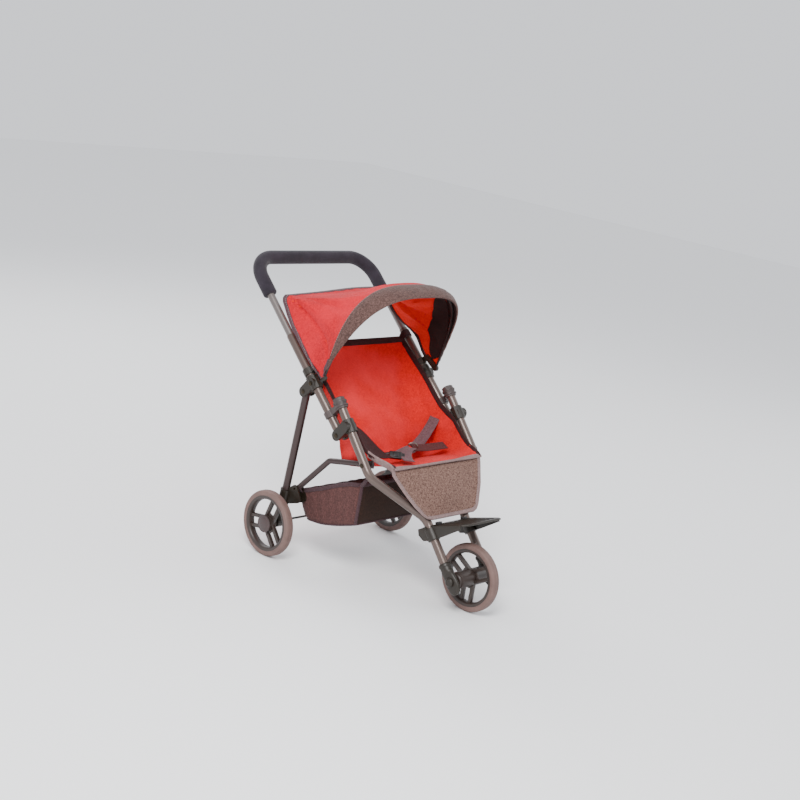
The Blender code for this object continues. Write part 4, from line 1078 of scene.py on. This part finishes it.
def make_canopy():
    rear = rear_edge()
    seam = arch(SEAM_FOOT, SEAM_CROWN, SEAM_HALVES, PANEL_COLS, 0.85)
    u = np.linspace(0, 1, PANEL_COLS)[None, :, None]
    v = np.linspace(0, 1, PANEL_ROWS)[:, None, None]
    grid = rear[None] * (1 - v) + seam[None] * v
    top = np.exp(-((u - 0.5) / 0.16) ** 2)
    side = np.exp(-((np.abs(u - 0.5) - 0.33) / 0.13) ** 2)
    dip = np.sin(np.pi * v)
    grid[..., 2:3] -= 0.0035 * dip * top
    grid[..., 2:3] += 0.0118 * np.sin(np.pi * v ** 4) * np.exp(-((u - 0.57) / 0.23) ** 4)
    grid[..., 0:1] -= 0.0050 * dip * side * np.sign(u - 0.5)
    for sign in (-1, 1):
        for slope, height, wide in ((0.24, -0.0095, 0.011), (0.15, 0.0085, 0.012), (0.05, -0.0070, 0.012)):
            line = 0.5 + sign * (0.21 + slope * v)
            ridge = height * np.exp(-((u - line) / (wide * (0.5 + v))) ** 2) * dip ** 0.7 * (1 - 0.5 * v)
            grid[..., 0:1] += ridge * sign
            grid[..., 2:3] += ridge * 0.3
    grid = settle(grid, 14, 0.004, 0.6, 1.5, 0.005)[:, ::-1]
    # The panel's inside takes the orange-red cloth: painted shade and light shining through
    panel = cloth("canopy_panel", grid, 0.0016, "red", "inside_painted_light")
    # The binding's inner half in the darker tape: painted shade inside the hood
    binding = tape("canopy_rear_binding", *border(grid, "top"), "hood_tape", 0.0095, 0.0036, back="dark_tape")
    # A dark sheet of painted shade inside the hood, behind the band
    inside = inner_shade_grid(grid)
    fronts = [cloth("canopy_inner_painted_shade", inside, 0.0014, "trim_painted_shade")]
    count = 6
    for name, part in (("left", slice(0, count)), ("right", slice(PANEL_COLS - count, PANEL_COLS))):
        path, normals, inward = (a[part] for a in border(grid, "bottom"))
        # The tips' inner half in the darker tape: painted shade
        tip = tape(f"canopy_tip_binding_{name}", path, normals, inward,
                   "hood_tape", 0.0060, 0.0036, back="dark_tape")
        fronts.append(tip)
    points, normals, inward = border(grid, "top")
    unit = inward / np.linalg.norm(inward, axis=1)[:, None]
    line = points + unit * 0.0062 + normals * 0.0019
    seam_line = stitches("canopy_rear_stitches", line[3:-3], normals[3:-3])
    make_band()
    for obj in (panel, binding, seam_line, *fronts):
        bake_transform(obj)
    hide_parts("canopy_fabric")


def inner_shade_grid(panel):
    """The part of the hood's inside that a dark sheet of painted shade covers: narrow over the top, wide at
    the sides.
    """
    rows = np.linspace(0, 1, panel.shape[0])
    lowered = panel - grid_normals(panel) * 0.0020
    columns = []
    for col in range(3, panel.shape[1] - 3):
        outward = abs(col / (panel.shape[1] - 1) - 0.5) * 2
        start = 0.86 - 0.46 * min(1.0, max(0.0, (outward - 0.45) / 0.42))
        wanted = np.linspace(start, 1.0, 9)
        columns.append(np.stack([np.interp(wanted, rows, lowered[:, col, k]) for k in range(3)], 1))
    return np.stack(columns, axis=1)


def make_band():
    """The hood's padded front band: bulged outside, flatter inside, with a rolled front hem."""
    rows, cols = 13, 97
    seam = arch(SEAM_FOOT, SEAM_CROWN, SEAM_HALVES, cols, 0.85, low=0.10)
    hem = arch(HEM_FOOT, HEM_CROWN, HEM_HALVES, cols, 1.2, low=0.10)
    v = np.linspace(0, 1, rows)[:, None, None]
    grid = seam[None] * (1 - v) + hem[None] * v
    span = np.linalg.norm(hem - seam, axis=1)[None, :, None]
    outward = grid_normals(grid)
    if outward[rows // 2, cols // 2, 2] < 0:
        outward = -outward
    grid = grid + outward * np.minimum(0.0050, span * 0.14) * np.sin(np.pi * v) ** 0.8
    u = np.linspace(0, 1, cols)[None, :, None]
    pucker = np.sin(u * 97 * 1.9 + 2 * np.sin(u * 31)) * 0.0004 * np.sin(np.pi * v)
    grid = grid + outward * pucker
    plump = 0.42 + 0.58 * np.sin(np.pi * v[..., 0]) ** 0.6
    thick = np.minimum(0.0068, 0.0020 + span[..., 0] * 0.12) * plump
    flip = grid[:, ::-1] if grid_normals(grid)[rows // 2, cols // 2, 2] < 0 else grid
    # The band's inner face in the near black cloth: painted shade
    band = cloth("canopy_band_pad", flip, thick[:, ::-1][..., None], "trim", "trim_painted_shade")
    soft = band.modifiers.new("rolled edge", "BEVEL")
    soft.width, soft.segments, soft.limit_method, soft.angle_limit = 0.0010, 3, "ANGLE", math.radians(50)
    normals = outward[0]
    line = seam + (hem - seam) * 0.05 + normals * 0.0031
    stitch = stitches("canopy_band_stitches", line[5:-5], normals[5:-5])
    seam_arch = arch(SEAM_FOOT, SEAM_CROWN, SEAM_HALVES, 81, 0.85)
    bow = seam_arch * 0.5 + arch(HEM_FOOT, HEM_CROWN, HEM_HALVES, 81, 1.2) * 0.5
    bow[:, 0] *= 0.984
    wire = tube("canopy_bow_wire", bow, 0.0021, "black", 16)
    put(band, "canopy", "canopy_band")
    put(wire, "canopy", "canopy_bow")
    put(stitch, "canopy")


# Seat and apron

SEAT_STATIONS = [
    # bottom y, z, then edge y, z
    (0.1350, 0.3895, 0.1352, 0.3905), (0.1000, 0.3430, 0.0950, 0.3630),
    (0.0660, 0.3000, 0.0580, 0.3380), (0.0340, 0.2620, 0.0300, 0.3125),
    (0.0145, 0.2260, 0.0120, 0.2980), (0.0020, 0.2010, 0.0000, 0.2915),
    (-0.0140, 0.2055, -0.0120, 0.2855), (-0.0350, 0.2180, -0.0276, 0.2785),
    (-0.0600, 0.2245, -0.0500, 0.2560), (-0.0790, 0.2300, -0.0720, 0.2400),
    (-0.0930, 0.2345, -0.0920, 0.2360), (-0.0990, 0.2335, -0.0985, 0.2342),
    (-0.1035, 0.2275, -0.1035, 0.2280),
]


def make_seat():
    rows, cols = 46, 45
    fine = []
    table = np.array(SEAT_STATIONS)
    lengths = arc_lengths(table[:, :2])
    for place in np.linspace(0, lengths[-1], rows):
        fine.append([np.interp(place, lengths, table[:, k]) for k in range(4)])
    fine = np.array(fine)
    for _ in range(2):
        fine[1:-1] = fine[1:-1] * 0.5 + (fine[:-2] + fine[2:]) * 0.25
    grid = np.zeros((rows, cols, 3))
    for row, (by, bz, ey, ez) in enumerate(fine):
        down = row / (rows - 1)
        half = 0.1330 - 0.0050 * min(1.0, down * 3)
        power = 8.0 + 8.0 * math.exp(-((down - 0.66) / 0.16) ** 2)
        cut = 0.026 * min(1.0, max(0.0, (-0.058 - ey) / 0.042))
        section = []
        for t in np.linspace(0, math.pi, 200):
            rise = math.sin(t) ** (2 / power)
            reach = half - cut if math.cos(t) > 0 else half
            reach -= 0.0060 * rise
            x = -reach * math.copysign(abs(math.cos(t)) ** (2 / power), math.cos(t))
            section.append((x, ey + (by - ey) * rise, ez + (bz - ez) * rise))
        grid[row] = resample(section, cols)
    u = np.linspace(-1, 1, cols)[None, :]
    v = np.linspace(0, 1, rows)[:, None]
    middle = np.cos(u * math.pi / 2) ** 0.6
    normal = grid_normals(grid)
    lift = -0.0060 * np.sin(np.pi * np.clip(v / 0.45, 0, 1)) * middle
    lift += 0.0016 * np.sin(u * 5.1 + v * 7.0) * middle * np.sin(np.pi * v)
    lift += 0.0022 * np.exp(-((v - 0.40 - 0.05 * u) / 0.018) ** 2) * middle
    lift += 0.0018 * np.exp(-((u - 0.42 + 0.55 * (v - 0.3)) / 0.05) ** 2) * np.exp(-((v - 0.38) / 0.12) ** 2)
    facing = 1.0 if normal[rows // 4, cols // 2, 2] > 0 else -1.0
    grid = grid + normal * facing * lift[..., None]
    grid = settle(grid, 16, 0.006, 1.0, 1.0, 0.006)
    if facing < 0:
        grid = grid[:, ::-1]
    sheet = cloth("seat_hammock", grid, 0.0022, "seat")
    pieces = []
    for side in ("left", "right"):
        path, normals, inward = border(grid, side)
        pieces.append(tape(f"seat_side_binding_{side}", path, normals, inward, "dark_tape", 0.0105, 0.0040))
        if path[0][0] < 0:
            # A dark sheet of painted shade by the seat's near front corner
            pieces.append(painted_shade_wing(path))
            cut = path[:, 1] < -0.056
            drop = np.array([(0.10, 0.05, -1.0)] * int(cut.sum()))
            facing_out = np.cross(np.gradient(path[cut], axis=0), drop)
            facing_out *= np.sign(-facing_out[:, :1])
            corner = tape("seat_corner_binding", path[cut], facing_out, drop,
                          "tape", 0.0120, 0.0034, over=0.0030)
            pieces.append(corner)
    pieces.append(tape("seat_top_binding", *border(grid, "top"), "dark_tape", 0.0125, 0.0042))
    points, normals, inward = border(grid, "bottom")
    pieces.append(tape("seat_front_binding", points, normals, inward, "tape", 0.0085, 0.0040, over=0.0030))
    for obj in (sheet, *pieces):
        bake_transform(obj)
    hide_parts("seat_back", "seat_base")
    for side, sign in SIDES.items():
        place = 0.1935
        if sign > 0:
            ends = [at(sign * SIDE_TUBE_X, on_side_tube(place + step)) for step in (-0.007, 0.007)]
            sleeve, radii = rounded_ends(ends, TUBE_RADIUS + 0.0016, 0.0006)
            put(tube(f"seat_loop_{side}", sleeve, radii, "dark_tape", 36), "handle_frame")
        top = np.array(at(sign * (SIDE_TUBE_X - 0.002), on_side_tube(place, TUBE_RADIUS + 0.0006)))
        end = np.array((sign * 0.1260, 0.1320, 0.3885))
        path = smooth_path([top, top * 0.45 + end * 0.55 + (0, -0.001, 0.002), end], 14)
        half = np.array(direction((0, 0), SIDE_HEADING))
        wide = np.array((0.0, half[0], half[1])) * 0.0062
        tangents = np.gradient(path, axis=0)
        normals = np.cross(tangents, wide)
        put(strap(f"seat_loop_tab_{side}", path, [wide] * 14, normals, "dark_tape", 0.0020), "handle_frame")


def painted_shade_wing(path):
    """A dark sheet of painted shade between the seat's near edge and its cloth: it widens toward the front.
    """
    edge = path[(path[:, 1] < -0.006) & (path[:, 1] > -0.070)]
    wide = np.linspace(0.04, 1.0, len(edge)) ** 1.2
    across = np.linspace(0.0, 1.0, 8)
    grid = edge[:, None, :] + (wide[:, None] * across[None, :])[..., None] * np.array((0.043, -0.006, -0.005))
    grid[..., 2] -= 0.0025 * wide[:, None] * np.sin(np.pi * across)[None, :]
    return cloth("seat_corner_painted_shade", grid, 0.0016, "dark_tape")


APRON_TOP, APRON_BOTTOM = (-0.1010, 0.2288), (-0.1600, 0.1500)
APRON_NEAR = ((0.0, -0.1025), (0.119, -0.1076), (0.442, -0.0941), (0.730, -0.0792),
              (0.892, -0.0665), (0.962, -0.0580), (1.0, -0.0480))
APRON_FAR = ((0.0, 0.1235), (0.119, 0.1227), (0.524, 0.1039), (0.881, 0.0802), (0.962, 0.0720), (1.0, 0.0620))


def make_apron():
    rows, cols = 31, 45
    grid = np.zeros((rows, cols, 3))
    normal = (-0.801, 0.599)
    for row, down in enumerate(np.linspace(0, 1, rows)):
        low, high = (np.interp(down, *zip(*side)) for side in (APRON_NEAR, APRON_FAR))
        y = APRON_TOP[0] + (APRON_BOTTOM[0] - APRON_TOP[0]) * down
        z = APRON_TOP[1] + (APRON_BOTTOM[1] - APRON_TOP[1]) * down
        for col, across in enumerate(np.linspace(0, 1, cols)):
            middle = math.sin(math.pi * across)
            lift = 0.0035 * middle * math.sin(math.pi * down ** 0.8)
            lift += 0.0007 * math.sin(across * 9.0 + down * 6.0) * math.sin(math.pi * down) * middle
            lift -= 0.0045 * max(0.0, 1 - down / 0.07) ** 2
            grid[row, col] = (low + (high - low) * across, y + normal[0] * lift, z + normal[1] * lift)
    if grid_normals(grid)[15, 20, 2] < 0:
        grid = grid[:, ::-1]
    grid = settle(grid, 12, 0.004, 0.8, 1.5, 0.003)
    sheet = cloth("front_apron", grid, 0.0017, "grey")
    path = np.vstack([grid[:, 0], grid[-1, 1:-1], grid[::-1, -1]])
    normals = grid_normals(grid)
    around = np.vstack([normals[:, 0], normals[-1, 1:-1], normals[::-1, -1]])
    centre = np.array((0.0095, (APRON_TOP[0] + APRON_BOTTOM[0]) / 2, (APRON_TOP[1] + APRON_BOTTOM[1]) / 2))
    inward = centre - path
    tangents = np.gradient(path, axis=0)
    inside = np.cross(around, tangents)
    inside *= np.sign((inside * inward).sum(axis=1))[:, None]
    binding = tape("apron_binding", path, around, inside, "tape", 0.0072, 0.0032)
    unit = inside / np.linalg.norm(inside, axis=1)[:, None]
    line = stitches("apron_stitches", (path + unit * 0.0052 + around * 0.0018)[2:-2], around[2:-2])
    top = tape("apron_top_binding", *border(grid, "top"), "tape", 0.0060, 0.0032)
    put(sheet, "front_frame", "seat_apron")
    for obj in (binding, line, top):
        put(obj, "front_frame")


# Basket

BASKET_TOP = ((0.0985, 0.1262), (0.0453, 0.1478), (-0.0058, 0.1735), (-0.0300, 0.1820), (-0.0540, 0.1880))
BASKET_LOW = ((0.0800, 0.0765), (0.0400, 0.0805), (0.0050, 0.0900), (-0.0250, 0.1010), (-0.0460, 0.1090))


def basket_loop(drop, inset, sides=(14, 22)):
    """A closed loop round the basket at this depth, from 0 at the rim to 1 at the floor."""
    top, low = np.array(BASKET_TOP), np.array(BASKET_LOW)
    line = top + (low - top) * drop
    half = 0.1195 + (0.1130 - 0.1195) * drop - inset
    mid = line.mean(axis=0)
    line = mid + (line - mid) * (1 - inset / 0.06)
    line = resample(line, sides[0])
    loop = []
    for y, z in line:
        loop.append((-half, y, z))
    for x in np.linspace(-half, half, sides[1] + 2)[1:-1]:
        loop.append((x, line[-1][0], line[-1][1]))
    for y, z in line[::-1]:
        loop.append((half, y, z))
    for x in np.linspace(half, -half, sides[1] + 2)[1:-1]:
        loop.append((x, line[0][0], line[0][1]))
    loop = np.array(loop)
    return (np.roll(loop, 1, axis=0) + np.roll(loop, -1, axis=0)) * 0.25 + loop * 0.5


def level_outward(loop):
    """Level unit vectors that point from the middle of a loop to each of its points."""
    away = loop - loop.mean(axis=0)
    away[:, 2] = 0
    return away / np.maximum(np.linalg.norm(away, axis=1), 1e-6)[:, None]


# Columns of the basket's front wall, which has the darker cloth: painted shade
FRONT_WALL = range(13, 37)


def make_basket():
    drops = np.concatenate([np.linspace(0, 0.88, 12), [0.94, 0.98, 1.0]])
    loops = [basket_loop(d, 0.0022 * max(0.0, (d - 0.9) / 0.1)) for d in drops]
    for inset in (0.006, 0.014, 0.024, 0.036, 0.048, 0.056):
        loops.append(basket_loop(1.0, inset))
    loops = np.array(loops)
    count, size = loops.shape[:2]
    walls = len(drops)
    turn = np.linspace(0, math.tau, size, endpoint=False)
    for k in range(count):
        drop = min(1.0, drops[min(k, walls - 1)])
        away = level_outward(loops[k])
        sag = 0.0025 * math.sin(math.pi * min(1.0, drop * 0.85 + 0.05)) if k < walls else 0.0
        gather = 0.0013 * np.sin(turn * 27 + 1.5 * np.sin(turn * 5)) * max(0.0, 1 - drop / 0.35)
        loops[k] += away * (sag * (0.6 + 0.4 * np.sin(turn * 3 + drop * 4)) + gather)[:, None]
        if k >= walls:
            loops[k][:, 2] -= 0.0035 * (k - walls + 1) / (count - walls)
    thick = 0.0016
    inner = []
    for k in range(count):
        away = level_outward(loops[k])
        wall = 1.0 if k < walls else 0.0
        ring = loops[k] - away * thick * wall
        ring[:, 2] += thick * (1 - wall) + (thick * 0.5 if k == walls - 1 else 0.0)
        inner.append(ring)
    rings = list(loops[::-1]) + inner
    # The front wall's faces get the darker cloth: painted shade
    dark = [r * size + k for r in range(len(rings) - 1) for k in FRONT_WALL]
    rest = sorted(set(range((len(rings) - 1) * size + 2)) - set(dark))
    body = skin("basket_shell", rings, [("basket", rest), ("basket_painted_shade", dark)], sharp=60)
    rim = loops[0]
    away = rim - rim.mean(axis=0)
    away[:, 2] = 0
    down = loops[2] - loops[0]
    binding = tape("basket_rim_binding", rim, away, down,
                   "basket_tape", 0.0075, 0.0034, closed=True, over=0.0014)
    pieces = [binding]
    for name, side in (("right", -1), ("left", 1)):
        from_side = np.abs(loops[6][:, 0] - side * loops[6][:, 0].max())
        number = int(np.argmin(from_side + np.abs(loops[6][:, 1] + 0.052) * 0.6))
        path = np.array([loops[k][number] for k in range(0, walls)])
        out = np.array([loops[k][number] - loops[k].mean(axis=0) for k in range(0, walls)])
        out[:, 2] = 0
        over = np.cross(np.gradient(path, axis=0), out)
        corner = tape(f"basket_corner_binding_{name}", path, out, over,
                      "basket_tape", 0.0055, 0.0030, over=0.0027)
        pieces.append(corner)
    floor = loops[walls - 1]
    below = np.array([(0, 0, -1.0)] * size)
    lower = tape("basket_floor_binding", floor, below, loops[walls] - floor,
                 "basket_tape", 0.0055, 0.0030, closed=True, over=0.0020)
    pieces.append(lower)
    put(body, "braces", "basket")
    for obj in pieces:
        put(obj, "braces")
    for obj in (body, *pieces):
        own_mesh(obj)
    make_basket_straps()


def make_basket_straps():
    """Straps that hang the basket's corners from the braces."""
    hangers = (("rear", (0.0880, 0.1290), (0.0860, 0.1370)), ("front", (-0.0500, 0.1880), (-0.0800, 0.2120)))
    for side, sign in SIDES.items():
        for name, point, end in hangers:
            x, brace = sign * 0.1180, sign * (BRACE_X + 0.0040)
            start = np.array((x, *point)) - (0, 0, 0.006)
            stop = np.array((brace, *end))
            path = smooth_path([start, (start + stop) / 2 + (sign * 0.001, 0, 0), stop], 10)
            half = np.array((0.0, 0.0042, 0.0))
            normals = np.cross(np.gradient(path, axis=0), half)
            hanger = strap(f"basket_hanger_{name}_{side}", path, [half] * 10, normals, "basket_tape", 0.0016)
            put(hanger, "braces")


# Belt

def make_belt():
    half_width = 0.0100
    runs = {
        "lap_strap_left": [
            (0.1225, 0.0125, 0.2700), (0.1130, 0.0080, 0.2610), (0.0850, -0.0010, 0.2400),
            (0.0560, -0.0120, 0.2290), (0.0240, -0.0320, 0.2310)],
        "lap_strap_right": [
            (0.0100, -0.0380, 0.2330), (-0.0100, -0.0450, 0.2335),
            (-0.0300, -0.0520, 0.2335), (-0.0480, -0.0590, 0.2335)],
        "strap_tail": [
            (0.0190, -0.0330, 0.2330), (0.0450, -0.0390, 0.2320),
            (0.0680, -0.0440, 0.2335), (0.0920, -0.0470, 0.2345)],
        "crotch_strap_web": [
            (-0.0600, -0.0985, 0.2375), (-0.0520, -0.0860, 0.2360), (-0.0340, -0.0660, 0.2365),
            (-0.0120, -0.0490, 0.2370), (0.0090, -0.0390, 0.2350)],
    }
    for name, points in runs.items():
        path = smooth_path(points, 26)
        tangents = np.gradient(path, axis=0)
        sideways = {"crotch_strap_web": (0.66, -0.75, 0.0)}.get(name, (0.0, 1.0, 0.35))
        wide = np.cross(np.cross(tangents, sideways), tangents)
        wide = wide / np.linalg.norm(wide, axis=1)[:, None] * half_width
        normals = np.cross(tangents, wide)
        normals *= np.sign(normals[:, 2])[:, None]
        piece = strap(name, path, wide, normals, "tail" if name == "strap_tail" else "webbing", 0.0016)
        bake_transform(piece)
    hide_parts("lap_strap")
    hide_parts("crotch_strap")
    turn = Matrix.Translation((-0.0590, -0.0640, 0.2365)) @ Matrix.Rotation(math.radians(-40), 4, "Z")
    turn = turn @ Matrix.Rotation(math.radians(42), 4, "X")
    boxes = {
        # low corner, high corner, edge radius
        "buckle_body": ((-0.0110, -0.0070, -0.0025), (0.0110, 0.0070, 0.0030), 0.0012),
        "buckle_button": ((-0.0045, -0.0040, 0.0024), (0.0045, 0.0040, 0.0042), 0.0009),
        "buckle_tongue": ((0.0095, -0.0055, -0.0015), (0.0165, 0.0055, 0.0015), 0.0007),
    }
    parts = [rounded_box(name, *measures, "black", turn) for name, measures in boxes.items()]
    ring = Matrix.Translation((0.0170, -0.0345, 0.2360)) @ Matrix.Rotation(math.radians(-40), 4, "Z")
    angles = np.linspace(0, math.tau, 33)[:-1]
    circle = [ring @ Vector((0.0085 * math.cos(t), 0.0, 0.0062 * math.sin(t))) for t in angles]
    wire_angles = np.linspace(0, math.tau, 13)[:-1]
    hoop = []
    for k, point in enumerate(circle):
        out = (point - ring.translation).normalized()
        side = out.cross(circle[(k + 1) % 32] - point).normalized()
        hoop.append([point + (out * math.cos(a) + side * math.sin(a)) * 0.0011 for a in wire_angles])
    hoop = skin("strap_ring", hoop, "steel", closed=True)
    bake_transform(hoop)
    buckle = join("belt_clasp", parts, "black")
    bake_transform(buckle)
    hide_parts("belt_buckle")


def make_floor():
    mesh = bpy.data.meshes.new("floor")
    size = 6.0
    corners = [(-size, -size, 0), (size, -size, 0), (size, size, 0), (-size, size, 0)]
    mesh.from_pydata(corners, [], [(0, 1, 2, 3)])
    paper = bpy.data.materials.new("floor")
    paper.use_nodes = True
    surface = paper.node_tree.nodes["Principled BSDF"]
    surface.inputs["Base Color"].default_value = (0.92, 0.92, 0.92, 1.0)
    surface.inputs["Roughness"].default_value = 0.9
    mesh.materials.append(paper)
    floor = bpy.data.objects.new("floor", mesh)
    bpy.context.scene.collection.objects.link(floor)


make_canopy()
make_seat()
make_apron()
make_basket()
make_belt()
make_floor()
make_camera()
make_light()
